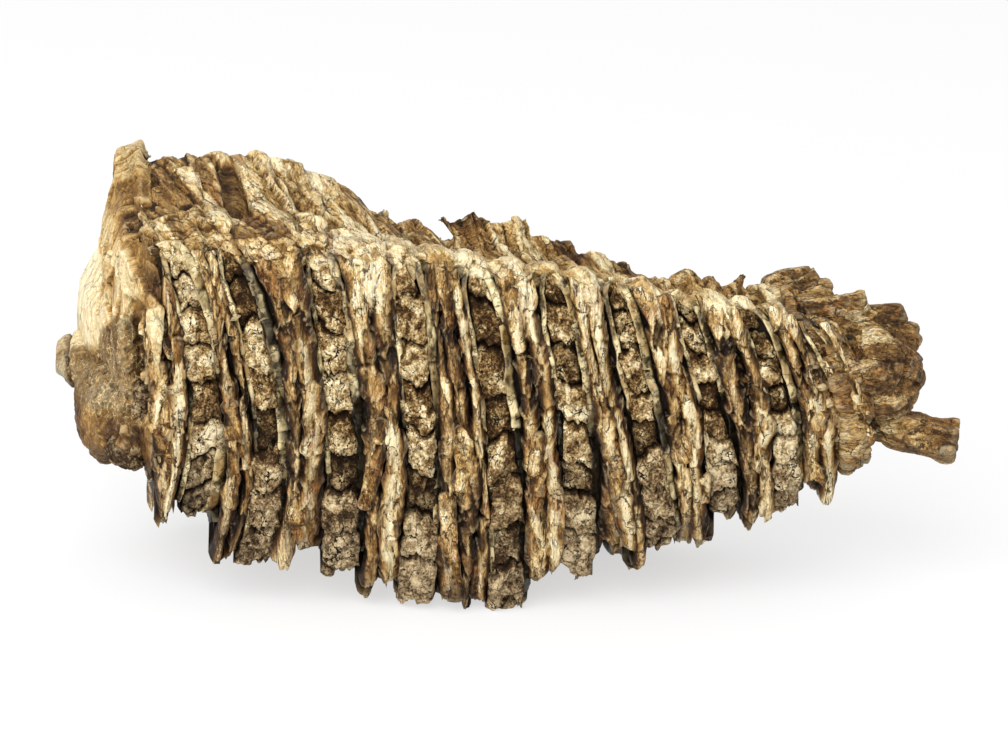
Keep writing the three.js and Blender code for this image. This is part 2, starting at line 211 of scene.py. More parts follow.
def shaped_grid(name, place, values, closed_along=True):
    """A grid of points, in millimetres, made into a mesh that is closed across and, for a hoop, along too.
    values: arrays on the same grid that its material reads."""
    def closed(grid):
        grid = np.concatenate([grid, grid[:1]], 0)
        if closed_along:
            grid = np.concatenate([grid, grid[:, :1]], 1)
        return grid.swapaxes(0, 1).reshape(-1, *grid.shape[2:])

    bpy.ops.mesh.primitive_grid_add(
        x_subdivisions=place.shape[0], y_subdivisions=place.shape[1] - (0 if closed_along else 1)
    )
    piece = bpy.context.object
    piece.name = name
    for value_name, value in values.items():
        set_values(piece, value_name, closed(value))
    set_shape(piece, closed(place))
    bpy.ops.object.mode_set(mode="EDIT")
    bpy.ops.mesh.select_all(action="SELECT")
    bpy.ops.mesh.remove_doubles(threshold=1e-7)
    bpy.ops.object.mode_set(mode="OBJECT")
    turned_out(piece)
    piece.select_set(False)
    return piece


FULLY_DARK = -9  # a lift at which the painted shade covers everything


def hoop(name, rows, sink, tips, lines, relief, level=0, darkest=FULLY_DARK, **marks):
    """A closed hoop round the tooth. rows: each row's place, 0 to 1, between the two lines. sink: its
    depth under the bare form. tips: each row's cheek and tongue tip. lines: the two edges' X at height
    share t. relief: takes the grid's arrays and gives how far it stands out, and how far it shifts in X.
    level: how far out it stands on the whole. darkest: the lowest lift its material gets, which sets how
    far the painted shade on its walls goes. marks: further values for the material, as numbers or as
    functions of t, u and share."""
    rings = []
    for share, cheek_tip, tongue_tip in zip(rows, *tips):
        x = lines[0](0.5) * (1 - share) + lines[1](0.5) * share
        rings.append(ring(x, cheek_tip, tongue_tip))
    y, z, t, ny, nz, u = (np.array(grid) for grid in zip(*rings))
    share = rows[:, None]
    x = lines[0](t) * (1 - share) + lines[1](t) * share - SKEW * y
    out, shift = relief(x, t, u, share)
    x = x + shift
    depth = out - sink[:, None]
    values = {"grain": np.stack([x, 0 * x, u], -1), "lift": np.maximum(depth - level, darkest), "height": t}
    for mark, value in marks.items():
        values[mark] = value(t, u, share) if callable(value) else np.full(t.shape, float(value))
    return shaped_grid(name, np.stack([x, y + ny * depth, z + nz * depth], -1), values)


def linear(hex_colour):
    """An sRGB hex colour as linear values."""
    parts = [int(hex_colour[n:n + 2], 16) / 255 for n in (0, 2, 4)]
    return (*(p / 12.92 if p <= 0.04045 else ((p + 0.055) / 1.055) ** 2.4 for p in parts), 1)


def add(tree, kind, inputs, output=None, stops=(), **settings):
    """Adds a node with its settings. inputs fills its inputs with values or with other nodes' outputs.
    stops: a colour ramp's places and colours. It gives back the named output, or the first one in use."""
    node = tree.nodes.new("ShaderNode" + kind)
    for name, value in settings.items():
        setattr(node, name, value)
    if stops:
        elements = node.color_ramp.elements
        for place, shade in stops[2:]:
            elements.new(place)
        for element, (place, shade) in zip(elements, stops):
            element.position, element.color = place, linear(shade)
    for name, value in inputs.items():
        socket = next(s for n, s in enumerate(node.inputs) if s.enabled and name in (s.name, n))
        if isinstance(value, bpy.types.NodeSocket):
            tree.links.new(value, socket)
        else:
            socket.default_value = value
    return node.outputs[output] if output else next(s for s in node.outputs if s.enabled)


def new_material(name):
    """A new material, with its node tree and its shader."""
    material = bpy.data.materials.new(name)
    material.use_nodes = True
    return material, material.node_tree, material.node_tree.nodes["Principled BSDF"]


# Painted shade for the slits, on the core: dull and nearly black, with a brown cast where light reaches it.
slit_shade, tree, shader = new_material("painted_slit_shade")
space = add(tree, "TexCoord", {}, "Object")
crumb = add(tree, "TexNoise", {"Vector": space, "Scale": 1000 / 2, "Detail": 4.0})
colour = add(tree, "Mix", {"Factor": crumb, "A": linear("120C07"), "B": linear("2E2114")}, data_type="RGBA")
tree.links.new(colour, shader.inputs["Base Color"])
tree.links.new(add(tree, "Bump", {"Height": crumb, "Distance": 0.001}), shader.inputs["Normal"])
shader.inputs["Roughness"].default_value = 0.95

CORE_DEPTH = 5.6  # under the bare form
# The rows that close it over at both ends, each drawn in further towards its middle.
drawn_in = np.linspace(0.98, 0, 8) ** 0.7
width_share = np.concatenate([drawn_in[::-1], np.ones(34), drawn_in])
core_x = -92 + 186 * np.concatenate([np.zeros(8), np.linspace(0, 1, 34), np.ones(8)])
plate_x = np.array([(a[1] + b[1]) / 2 for a, b in zip([LEFT_EDGE] + VALLEYS, VALLEYS + [RIGHT_EDGE])])
core_tips = [np.interp(core_x, plate_x, np.array(PLATES)[:, n]) + 9 for n in (0, 1)]
rings = [ring(*row) for row in zip(core_x, *core_tips)]
y, z, t, ny, nz, u = (np.array(grid).T for grid in zip(*rings))
depth = -CORE_DEPTH + 0.5 * rough([u / 4, core_x / 4 + 0 * u], 81, 3)
y, z = (
    middle + (side - middle) * width_share
    for side, middle in ((y + ny * depth, y.mean(0)), (z + nz * depth, z.mean(0)))
)
x = core_x - SKEW * y + (width_share < 1) * 1.2 * rough([y / 6, z / 6], 82, 3)
core = shaped_grid("dark_inside", np.stack([x, y, z], -1), {}, closed_along=False)
core.data.materials.append(slit_shade)
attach(core, "root")
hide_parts("mammoth_tooth")

# ---- Dentine plates.
# Each is the fibrous inner body of one of the tooth's plates, grown in place and split along its grain into
# two or three strands. They show on both flanks as an upright rib with loose slabs on it, and each
# strand's foot is snapped off at its own height.
STRANDS = [  # where each plate's strands part, as shares of its width
    (0.5,), (0.52,), (0.48,), (0.46,), (0.36, 0.68), (0.48,), (0.54,), (0.5,), (0.52,), (0.46,), (0.5,),
]
WAXY = [0.9, 0.7, 0.6, 0.85, 0.5, 0.9, 0.8, 0.9, 0.5, 0.7, 0.4]  # how smooth the strand nearest the column is
TONE_STEPS = {2: -0.6, 10: -0.5}  # the plates that are darker than the others
LIT_FROM = 8  # from this plate on, counted from 0, the last strand's wall is in plain sight and gets little painted shade
STRAND_ROWS = 17
WALL_SINKS = np.array([8, 5, 2.8, 1.2])  # how deep the rows of a hoop's walls lie
SLABS = 3  # loose slabs on each plate
TONGUE_START = 196  # the ring's points from here on are on the tongue side


def cells(points, seed=0):
    """Broken cells: distance to the border with the next cell, a cell number from 0 to 1, and how far the
    point is from its cell's centre in each direction."""
    whole = [np.floor(p) for p in points]
    near = np.full(np.shape(points[0]), 9.0)
    second, number = near.copy(), near.copy()
    away = [near.copy() for _ in points]
    for corner in range(3 ** len(points)):
        at = [w + corner // 3 ** n % 3 - 1 for n, w in enumerate(whole)]
        gap = [p - a - hashed(*at, seed + n) for n, (a, p) in enumerate(zip(at, points))]
        apart = sum(g ** 2 for g in gap) ** 0.5
        closer = apart < near
        second = np.where(closer, near, np.minimum(second, apart))
        number = np.where(closer, hashed(*at, seed + 50), number)
        away = [np.where(closer, g, a) for g, a in zip(gap, away)]
        near = np.where(closer, apart, near)
    return second - near, number, away


def facets(points, seed, tilt):
    """Flat chips: each broken cell has its own height, from -0.5 to 0.5, and leans its own way."""
    border, number, away = cells(points, seed)
    lean = sum((hashed(np.floor(number * 4096), n + seed) - 0.5) * a for n, a in enumerate(away))
    return number - 0.5 + 2 * tilt * lean, border


def face_reach(x, y, z):
    """How far, in millimetres, a point is past the border of the broad end's smooth skin."""
    return x + 95.5 - 3.5 * (1 + smooth(101.5, 98, z)) * smooth(26, 13, y) + 0.08 * np.maximum(100 - z, 0)


def strand_relief(x, t, u, share, proud, seed, waxy):
    """A strand like one of a rope, with a wandering crest. It has broken across into lengths that stand in
    and out, and has chipped edges. Towards the shoulder it runs level with its neighbours."""
    merge, low = smooth(0.78, 0.95, t), smooth(0.4, 0.1, t)
    crest = 0.5 + 0.3 * noise([u / 16, 0 * u], seed + 1)
    off = np.where(share < crest, (crest - share) / crest, (share - crest) / (1 - crest))
    place = u / 16 + 1.2 * (1 - t) ** 3 + 0.1 * noise([share * 3 + 0 * u, u / 5], seed + 2)
    length = np.floor(place)
    to_break = np.abs(place - np.round(place)) * 16
    broken = hashed(np.round(place), seed + 3) > 0.3
    out = proud * (1 - merge) + 1.1 * merge + 0.6 - 2.1 * (1 - 0.85 * merge) * off ** 2.6
    step = 1.8 * (hashed(length, seed + 4) - 0.5)
    step = step + 1.6 * (hashed(length, seed + 5) - 0.5) * (place - length - 0.5)
    out = out + step * (1 - 0.7 * merge) * (1 + 0.4 * low)
    out = out - 0.9 * broken * (1 - smooth(0.1, 0.55, to_break + 0.25 * noise([share * 6, u / 2], seed + 6)))
    flat, border = facets([u / 9 + 0.3 * noise([x / 2, u / 9], seed), x / 3.6], seed + 30, 1.1)
    out = out + 1.5 * (1 - 0.4 * merge) * flat - 0.3 * (1 - smooth(0, 0.05, border))
    flat, border = facets([u / 4.2, x / 1.9], seed + 31, 1.0)
    out = out + 0.55 * (1 - 0.5 * merge) * flat
    out = out + (0.18 - 0.12 * waxy) * (1 + 0.6 * low) * rough([u / 9, x / 1.1], seed + 10, 3)
    out = out + 0.1 * rough([u / 1.9, x / 0.9], seed + 20, 2) + 0.4 * noise([u / 6, x / 5], seed + 21)
    side = np.sign(share - 0.5)
    edge = np.abs(2 * share - 1)
    chip = smooth(0.25, 0.6, rough([u / 7, side * 3 + 0 * u], seed + 40, 3)) * (1 - merge)
    out = out - 1.2 * chip * edge ** 3 - 7 * smooth(0.955, 1, t + 0.02 * noise([x / 2, u / 9], seed + 7))
    out = out - 3 * smooth(1, -1, face_reach(x, 5, 100 * t)) * smooth(0.6, 0.75, t)
    shift = (0.5 * rough([u / 5, side * 5 + 0 * u], seed + 41, 3) - side * 0.8 * chip) * edge ** 2
    shift = shift + 1.5 * (1 - merge) * (hashed(length, seed + 8) - 0.5)
    return out, shift + 0.6 * noise([u / 17, 0 * u], seed + 42)


def walled(count, sinks):
    """A hoop's rows: their places from 0 to 1, with a wall at each side, and each one's depth."""
    places = np.concatenate([0 * sinks, np.linspace(0, 1, count), 0 * sinks + 1])
    return places, np.concatenate([sinks, np.zeros(count), sinks[::-1]])


def slab(name, path, up, width, thick, seed, marks):
    """A loose length of a strand: a closed, flattish piece with chipped sides and blunt ends. path: points
    in millimetres along its middle. up: which way it faces at each of them."""
    run = np.gradient(path, axis=0)
    run = run / np.linalg.norm(run, axis=1, keepdims=True)
    across = np.cross(run, up)
    across = across / np.linalg.norm(across, axis=1, keepdims=True)
    length = np.concatenate([[0], np.cumsum(np.linalg.norm(np.diff(path, axis=0), axis=1))])
    from_end = np.minimum(length, length[-1] - length)
    taper = np.clip(from_end / 1.6, 0, 1) ** 0.5
    angle = np.linspace(0, 2 * math.pi, 20, endpoint=False)[:, None]
    side, rise = (np.sign(a) * np.abs(a) ** 0.45 for a in (np.cos(angle), np.sin(angle)))
    u = length[None] + 0 * angle
    half = width / 2 * taper * (0.85 + 0.35 * rough([u / 7, np.round(side) * 2], seed + 2, 3))
    lift = rise * thick * taper * np.where(rise > 0, 1 + 0.5 * side * noise([u / 8, 0 * u], seed + 1), 1)
    flat, border = facets([u / 6, side * width / 6], seed + 4, 1.1)
    lift = lift + (rise > 0) * taper * (1.3 * flat + 0.12 * rough([u / 4, side * width], seed + 3, 3))
    skew = 5 * (float(hashed(seed, 5)) - 0.5) * np.clip(1 - from_end / 7, 0, 1)
    place = path[None] + across[None] * (side * half)[..., None] + up[None] * lift[..., None]
    place = place + run[None] * (side * skew)[..., None]
    place[:, 0] = place[:, 0].mean(0)
    place[:, -1] = place[:, -1].mean(0)
    values = {"grain": np.stack([side * half + 31.0 * seed, lift, u], -1), "lift": lift - 0.2}
    for mark, value in {"edge": np.abs(side), **marks}.items():
        values[mark] = np.broadcast_to(value, u.shape).astype(float)
    return shaped_grid(name, place, values, closed_along=False)


def joined(name, pieces):
    """Several meshes made one."""
    bpy.ops.object.select_all(action="DESELECT")
    for piece in pieces:
        piece.select_set(True)
    bpy.context.view_layer.objects.active = pieces[0]
    if len(pieces) > 1:
        bpy.ops.object.join()
    pieces[0].name = pieces[0].data.name = name
    pieces[0].select_set(False)
    return pieces[0]


# Fossil dentine: split along its fibres, cream where it is fresh, and stained ochre and brown by iron. A
# thin coat of varnish gives it a soft gloss. Some strands are dense and waxy, and some bone is spongy.
dentine, tree, shader = new_material("fossil_dentine")
space = add(tree, "TexCoord", {}, "Object")
grain = add(tree, "Attribute", {}, "Vector", attribute_name="grain")
lift, height, tone, waxy, spongy, fresh, edge = (
    add(tree, "Attribute", {}, "Fac", attribute_name=name)
    for name in ("lift", "height", "tone", "waxy", "spongy", "fresh", "edge")
)
worn = add(tree, "Math", {0: 1.0, 1: fresh}, operation="SUBTRACT")
point = add(tree, "NewGeometry", {}, "Pointiness")
# Clouds of stain 25 mm wide, and patches of 4 mm.
cloud = add(tree, "TexNoise", {"Vector": space, "Scale": 1000 / 25, "Detail": 3.0})
patch = add(tree, "TexNoise", {"Vector": space, "Scale": 1000 / 4, "Detail": 5.0, "Roughness": 0.62})
# Streaks, fibres, specks and hairline splits along the grain: width, length (in millimetres), roughness.
streak, fibre, speck, split = (
    add(tree, "TexNoise", {
        "Vector": add(tree, "Mapping", {"Vector": grain, "Scale": (1 / wide, 1 / wide, 1 / long)}),
        "Scale": 1.0, "Detail": 3.0, "Roughness": roughness,
    })
    for wide, long, roughness in ((2.5, 12, 0.5), (0.6, 8, 0.6), (0.45, 1, 0.7), (2.6, 24, 0.6))
)
# Flakes 4 mm wide and 10 mm long along the grain, and chips of 1.5 by 4 mm on them, with wandering borders.
# Each has its own shade and leans its own way.
bend = add(tree, "TexNoise", {"Vector": space, "Scale": 1000 / 5, "Detail": 5.0, "Roughness": 0.65}, "Color")
broken = []
for wide, long, sway in ((4, 10, (1.2, 1.2, 0.8)), (1.5, 4, (1.5, 1.5, 1))):
    along = add(tree, "Mapping", {"Vector": grain, "Scale": (1 / wide, 1 / wide, 1 / long)})
    along = add(tree, "VectorMath", {0: bend, 1: sway, 2: along}, operation="MULTIPLY_ADD")
    cell = add(tree, "TexVoronoi", {"Vector": along, "Scale": 1.0}, "Color")
    off = add(tree, "VectorMath", {0: along, 1: cell.node.outputs["Position"]}, operation="SUBTRACT")
    lean = add(tree, "VectorMath", {0: cell, 1: (0.5, 0.5, 0.5)}, operation="SUBTRACT")
    lean = add(tree, "VectorMath", {0: off, 1: lean}, "Value", operation="DOT_PRODUCT")
    broken.append((along, lean, add(tree, "SeparateColor", {"Color": cell}, "Red")))
(along, flake_lean, flake), (_, chip_lean, chip) = broken
flake = add(tree, "Math", {0: flake, 1: worn}, operation="MULTIPLY")
# Dark borders round the flakes, here and there.
crack = add(tree, "TexVoronoi", {"Vector": along, "Scale": 1.0}, "Distance", feature="DISTANCE_TO_EDGE")
reach = add(tree, "MapRange", {"Value": patch, "From Min": 0.44, "From Max": 0.6, "To Max": 0.04})
crack = add(tree, "Math", {0: crack, 1: reach}, operation="LESS_THAN")
fade = add(tree, "MapRange", {"Value": fresh, "From Min": 0.3, "To Min": 1.0, "To Max": 0.25})
crack = add(tree, "Math", {0: crack, 1: fade}, operation="MULTIPLY")
# How pale it is: more towards the shoulder; more where it stands out, which is wear and painted shade at
# once; and less along a strand's edges, which is painted shade, and on the lines between chips.
stains = ((cloud, 1.2), (patch, 1.1), (streak, 0.6), (fibre, 0.2), (flake, 0.45), (chip, 0.25))
uneven = -0.5 * sum(amount for part, amount in stains)
for part, amount in stains:
    uneven = add(tree, "Math", {0: part, 1: amount, 2: uneven}, operation="MULTIPLY_ADD")
pale = add(tree, "MapRange", {"Value": height, "From Min": 0.1, "To Min": 0.19, "To Max": 0.67})
fade = add(tree, "MapRange", {"Value": fresh, "To Min": 1.0, "To Max": 0.3})
dash = add(tree, "Math", {0: fibre, 1: 0.5}, operation="SUBTRACT")
dash = add(tree, "Math", {0: dash, 1: fresh}, operation="MULTIPLY")
for part, amount in ((uneven, fade), (dash, 0.25), (tone, 0.3), (lift, 0.17)):
    pale = add(tree, "Math", {0: part, 1: amount, 2: pale}, operation="MULTIPLY_ADD")
border = add(tree, "MapRange", {"Value": edge, "From Min": 0.45, "To Min": 0.08, "To Max": 0.42})
pale = add(tree, "Math", {0: pale, 1: border}, operation="SUBTRACT")
colour = add(tree, "ValToRGB", {"Fac": pale}, stops=(
    (0, "2A1604"), (0.2, "573B17"), (0.4, "866231"), (0.58, "B49054"), (0.76, "D8BF8C"), (1, "F3E3BB"),
))
# The waxy strands: honey, grey-white where they are thickest, with painted shade in brown along their edges
# and where they lie deeper.
border = add(tree, "MapRange", {"Value": edge, "From Min": 0.2, "From Max": 0.95, "To Max": 0.6})
honey = -0.2
for part, amount in ((streak, 1.0), (patch, 0.6), (flake, 0.3), (border, -1.0), (lift, 0.2)):
    honey = add(tree, "Math", {0: part, 1: amount, 2: honey}, operation="MULTIPLY_ADD")
honey = add(tree, "ValToRGB", {"Fac": honey}, stops=(
    (0.2, "40260B"), (0.4, "7C5828"), (0.56, "B28C50"), (0.72, "CDB584"), (0.95, "EEDEB4"),
))
# Iron stains in ochre, 8 mm across.
stain = add(tree, "TexNoise", {"Vector": space, "Scale": 1000 / 8, "Detail": 4.0, "Roughness": 0.6})
stain = add(tree, "MapRange", {"Value": stain, "From Min": 0.54, "From Max": 0.66, "To Max": 0.6})
stain = add(tree, "Math", {0: stain, 1: worn}, operation="MULTIPLY")
for share, coat in ((waxy, honey), (stain, linear("8A5422"))):
    colour = add(tree, "Mix", {"Factor": share, "A": colour, "B": coat}, data_type="RGBA")
# Spongy bone: brown walls round pores 1.6 mm wide, with a net of pale threads across it, 2 mm apart.
pore = add(tree, "TexVoronoi", {"Vector": space, "Scale": 1000 / 1.6}, "Distance")
pore = add(tree, "MapRange", {"Value": pore, "From Min": 0.15, "From Max": 0.6})
bone = add(tree, "Mix", {"Factor": pore, "A": linear("1A0F03"), "B": linear("6A4B22")}, data_type="RGBA")
bent = add(tree, "Mapping", {"Vector": space, "Scale": (1000 / 2, 1000 / 2, 1000 / 2.4)})
bent = add(tree, "VectorMath", {0: bend, 1: (2, 2, 2), 2: bent}, operation="MULTIPLY_ADD")
thread = add(tree, "TexVoronoi", {"Vector": bent, "Scale": 1.0}, feature="DISTANCE_TO_EDGE")
reach = add(tree, "MapRange", {"Value": streak, "From Min": 0.42, "From Max": 0.62, "To Max": 0.04})
thread = add(tree, "Math", {0: thread, 1: reach}, operation="LESS_THAN")
thread = add(tree, "Math", {0: thread, 1: fresh}, operation="MULTIPLY")
for share, coat in ((thread, linear("E6CE9A")), (0.25, colour)):
    bone = add(tree, "Mix", {"Factor": share, "A": bone, "B": coat}, data_type="RGBA")
colour = add(tree, "Mix", {"Factor": spongy, "A": colour, "B": bone}, data_type="RGBA")
# Specks and grime of 0.45 mm, faint on waxy and fresh stuff.
grime = add(tree, "MapRange", {
    "Value": speck, "From Min": 0.4, "From Max": 0.59, "To Min": 0.02, "To Max": 0.98,
})
share = add(tree, "Math", {0: waxy, 1: fresh}, operation="MAXIMUM")
share = add(tree, "MapRange", {"Value": share, "To Min": 0.58, "To Max": 0.2})
colour = add(tree, "Mix", {"Factor": share, "A": colour, "B": grime}, data_type="RGBA", blend_type="OVERLAY")
split = add(tree, "Math", {0: split, 1: 0.47, 2: 0.007}, operation="COMPARE")
split = add(tree, "Math", {0: split, 1: worn}, operation="MULTIPLY")
crack = add(tree, "Math", {0: crack, 1: split}, operation="MAXIMUM")
# Painted shade in the hollows, weaker where the dentine is fresh.
hollow_shade = add(tree, "MapRange", {"Value": point, "From Min": 0.5, "From Max": 0.4, "To Max": 0.85})
fade = add(tree, "MapRange", {"Value": fresh, "To Min": 1.0, "To Max": 0.4})
hollow_shade = add(tree, "Math", {0: hollow_shade, 1: fade}, operation="MULTIPLY")
# Dark cracks, painted shade deep down and in the hollows, and pale rubbed edges, which are wear and painted
# highlight at once: the value each goes by, where it starts and where it is full, how much it then covers,
# and its colour.
for part, start, full, most, shade in (
    (crack, 0, 1, 0.86, "301802"), (lift, -0.8, -2.6, 0.95, "1C1003"),
    (hollow_shade, 0, 1, 1, "271604"), (point, 0.52, 0.6, 0.4, "EAD6A8"),
):
    share = add(tree, "MapRange", {"Value": part, "From Min": start, "From Max": full, "To Max": most})
    colour = add(tree, "Mix", {"Factor": share, "A": colour, "B": linear(shade)}, data_type="RGBA")
tree.links.new(colour, shader.inputs["Base Color"])
shader.inputs["Specular IOR Level"].default_value = 0.28
gloss = add(tree, "MapRange", {"Value": waxy, "To Min": 0.62, "To Max": 0.36})
tree.links.new(gloss, shader.inputs["Roughness"])
relief = add(tree, "Math", {0: fibre, 1: speck}, operation="ADD")
fade = add(tree, "MapRange", {"Value": fresh, "From Min": 0.4, "From Max": 0.8, "To Min": 0.9, "To Max": 0.4})
relief = add(tree, "Math", {0: relief, 1: fade}, operation="MULTIPLY")
for part, amount in ((flake_lean, 4.2), (chip_lean, 2.6), (flake, 0.6), (pore, spongy), (crack, -0.8)):
    relief = add(tree, "Math", {0: part, 1: amount, 2: relief}, operation="MULTIPLY_ADD")
bump = add(tree, "Bump", {"Height": relief, "Strength": 0.9, "Distance": 0.0007})
tree.links.new(bump, shader.inputs["Normal"])

for i, (cheek_tip, tongue_tip, proud) in enumerate(PLATES):
    left = LEFT_EDGE if i == 0 else VALLEYS[i - 1]
    right = VALLEYS[i] if i < len(VALLEYS) else RIGHT_EDGE
    gap = (0.0 if i == 0 else left[3] + 0.1, right[3] + 0.2)
    borders = (0, *STRANDS[i], 1)
    strands = []

    def edge_line(t, share, middle, left=left, right=right, gap=gap, i=i):
        start, end = line_at(left, t) + gap[0], line_at(right, t) - gap[1]
        step = hashed(np.floor(9 * t + 0.3 * noise([6 * t, 0 * t], 100 * i + 1)), 100 * i + 7 * share) - 0.5
        sway = 0.14 * noise([3.2 * t, share * 7 + 0 * t], 100 * i) + 0.12 * step
        place = share + math.sin(math.pi * share) * sway
        return start + (end - start) * place + 0.25 * np.sign(share - middle)

    for n, (low, high) in enumerate(zip(borders, borders[1:])):
        seed = 100 * i + 1000 * n
        last = n == len(borders) - 2
        waxy_share = WAXY[i] if last else 0.3
        across, sink = walled(STRAND_ROWS, WALL_SINKS)
        drop = 9 * (hashed(seed) - 0.5) if cheek_tip > 0 else 4 * hashed(seed)
        ragged = 3.0 * (hashed(np.floor(across * 2.4), seed + 3) - 0.5) + 1.4 * np.abs(2 * across - 1) ** 3
        strands.append(hoop(
            f"strand_{i}_{n}",
            across,
            sink + 0.5 * hashed(seed + 9) + 1.5 * (i == len(VALLEYS)) * n,
            (np.maximum(cheek_tip + drop + ragged, 0), np.maximum(tongue_tip + 0.6 * drop + ragged, 0)),
            (
                lambda t, w=low, m=(low + high) / 2: edge_line(t, w, m),
                lambda t, w=high, m=(low + high) / 2: edge_line(t, w, m),
            ),
            lambda x, t, u, share, s=seed, w=waxy_share: strand_relief(x, t, u, share, proud, s, w),
            proud + 0.4,
            -1.5 if i + n == 0 or i >= LIT_FROM and last else FULLY_DARK,
            tone=1.2 if i + n == 0 else hashed(seed + 77) + 0.1 + TONE_STEPS.get(i, 0),
            waxy=lambda t, u, share, w=waxy_share: w * smooth(0.95, 0.75, t) + 0 * share,
            spongy=0,
            fresh=0,
            edge=lambda t, u, share: np.abs(2 * share - 1) + 0 * t,
        ))
    for k in range(SLABS):
        pick = lambda n: float(hashed(900 + 10 * i, k, n))
        share, on_tongue = 0.2 + 0.6 * pick(1), k == SLABS - 1
        middle = line_at(left, 0.5) * (1 - share) + line_at(right, 0.5) * share
        y, z, t, ny, nz, u = ring(middle, cheek_tip, tongue_tip)
        count = int(20 + 38 * pick(2))
        start = int(TONGUE_START + 50 * pick(3) if on_tongue else 4 + 32 * k + 26 * pick(3))
        part = slice(start, start + count)
        drift = (pick(4) - 0.5) * 0.4 * np.linspace(-1, 1, count)
        low, middle, high = (edge_line(t[part], place, place) for place in (0, 0.5, 1))
        x = middle + (share + drift - 0.5) * (high - low)
        stand = proud - 0.3 + 0.6 * pick(5)
        path = np.stack([x - SKEW * y[part], y[part] + ny[part] * stand, z[part] + nz[part] * stand], -1)
        up = np.stack([0 * x, ny[part], nz[part]], -1)
        strands.append(slab(
            f"slab_{i}_{k}", path, up, 4.4 + 1.8 * pick(6), 0.8 + 0.4 * pick(7), 40 * i + k,
            {
                "height": t[part], "tone": pick(8) * 0.9 - 0.1, "waxy": 0.8 * (pick(9) > 0.6),
                "spongy": 0, "fresh": 0,
            },
        ))
    plate = joined(f"plate_{i + 1}", strands)
    plate.data.materials.append(dentine)
    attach(plate, "root")
    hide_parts("mammoth_tooth")

# ---- Cement columns.
# Cement grew in the valleys between the plates and bound them together. It is rough and granular, and has
# broken into a stack of blocks with dark cracks between them.
CEMENT_ROWS = 18
BLOCKS = [  # how far each block stands out, from the tips up
    (-1.6, -1, 0.9, 1.5, 1.6, 1, -0.6, -0.2), (-0.2, 1.4, 0.4, -1.8, 2, 1.2, -0.8, -0.5),
    (2, 1.8, -1.2, 1, 0.6, 1.2, 0.4, -0.6), (2.2, 1.4, -1.2, 1.2, 1.6, 0.6, 1.4, 0.2),
    (1.6, -1, 2.2, 1, -1.2, 0.8, -1, -0.8), (1.2, 1.6, -1.2, 1.4, 1, -1, 0.6, -0.4),
    (-0.6, 1, 1.6, -1.2, 1.2, 1.4, -0.8, -0.6), (-1, 0.6, 1.4, 1.8, -1, 0.8, -0.6, -0.9),
    (0.8, 1.8, 2, 1.2, -1, 0.4, -0.8, -0.6), (0.6, 1, -1, 0.8, 0.6, -0.8, -0.4, -0.6),
]
LUMPS = [((-95.4, 13, 55.5), (4.4, 5, 6.4)), ((-99, 12.5, 42), (6.4, 6, 5))]  # centre, and half widths


def block_place(t, share, seed):
    """Where on the stack of blocks a point is: its whole part is the block's number."""
    place = t * 7.99 + 0.22 * noise([share * 1.6, t * 5], seed)
    return place + 0.07 * rough([share * 6, t * 16], seed + 1, 2)


def block_number(t, share, seed):
    """Which of the eight blocks of a column a point is on."""
    return np.clip(np.floor(block_place(t, share, seed)), 0, 7).astype(int)


def cement_relief(x, t, u, share, blocks, seed):
    """Squared blocks with cracks between them, and a granular, pitted surface."""
    edge = np.abs(2 * share - 1)
    place = block_place(t, share, seed)
    number = block_number(t, share, seed)
    to_crack = np.abs(place - np.round(place)) * 12
    open_crack = 0.35 + 0.9 * hashed(np.round(place), seed + 8)
    out = np.array(blocks)[number] + 0.7 * hashed(number, seed + 1) - 7 * smooth(0.985, 1, t)
    out = out - 2.4 * (1 - smooth(0.1, 0.9, to_crack / open_crack)) - 0.8 * (1 - smooth(0, 2.4, to_crack))
    out = out - 0.9 * edge ** 5 - 0.5 * edge ** 2
    flat, border = facets([u / 6, x / 4.2], seed + 5, 0.8)
    out = out + 0.9 * flat - 0.5 * (1 - smooth(0, 0.08, border))
    out = out + 0.36 * rough([u / 2.1, x / 2.1], seed + 6, 3, 0.65)
    pit = smooth(0.35, 0.75, noise([u / 1.6, x / 1.3], seed + 9))
    out = out - 0.6 * pit
    side = 1.2 * (hashed(number, seed + 2) - 0.5) + 0.6 * rough([u / 4, share * 2], seed + 7, 3)
    return out, side


def lump(name, centre, size, seed):
    """A crumb of cement stuck by the broad end's foot. size: its half width each way."""
    bpy.ops.mesh.primitive_ico_sphere_add(subdivisions=5)
    piece = bpy.context.object
    piece.name = name
    ways = np.empty(len(piece.data.vertices) * 3, np.float32)
    piece.data.vertices.foreach_get("co", ways)
    ways = ways.reshape(-1, 3).astype(np.float64)
    place = np.array(centre) + ways * size
    flat, border = facets(list((place / 4.5).T), seed, 0.9)
    out = 1.4 * flat - 0.5 * (1 - smooth(0, 0.08, border))
    out = out + 0.4 * rough(list((place / 2.1).T), seed + 1, 3, 0.65)
    for value_name, value in (("lift", out), ("height", 0.1 + 0 * out), ("tone", -0.1 + 0 * out)):
        set_values(piece, value_name, value)
    set_shape(piece, place + ways * out[:, None])
    piece.data.shade_smooth()
    piece.select_set(False)
    return piece


def column_half(valley, t):
    """A column's half width: widest in its lower third, and pointed under the arch at its top."""
    return (valley[3] - 1.1 + 1.0 * smooth(0.5, 0.1, t)) * (1 - 0.75 * smooth(0.86, 0.99, t))


# Fossil cement: granular and porous, cream to brown above and pinkish grey below, peppered with dark pits
# and pale grains that catch the light; dry and matt.
cement, tree, shader = new_material("fossil_cement")
space = add(tree, "TexCoord", {}, "Object")
lift, height, tone = (
    add(tree, "Attribute", {}, "Fac", attribute_name=name) for name in ("lift", "height", "tone")
)
point = add(tree, "NewGeometry", {}, "Pointiness")
patch = add(tree, "TexNoise", {"Vector": space, "Scale": 1000 / 5, "Detail": 4.0, "Roughness": 0.6})
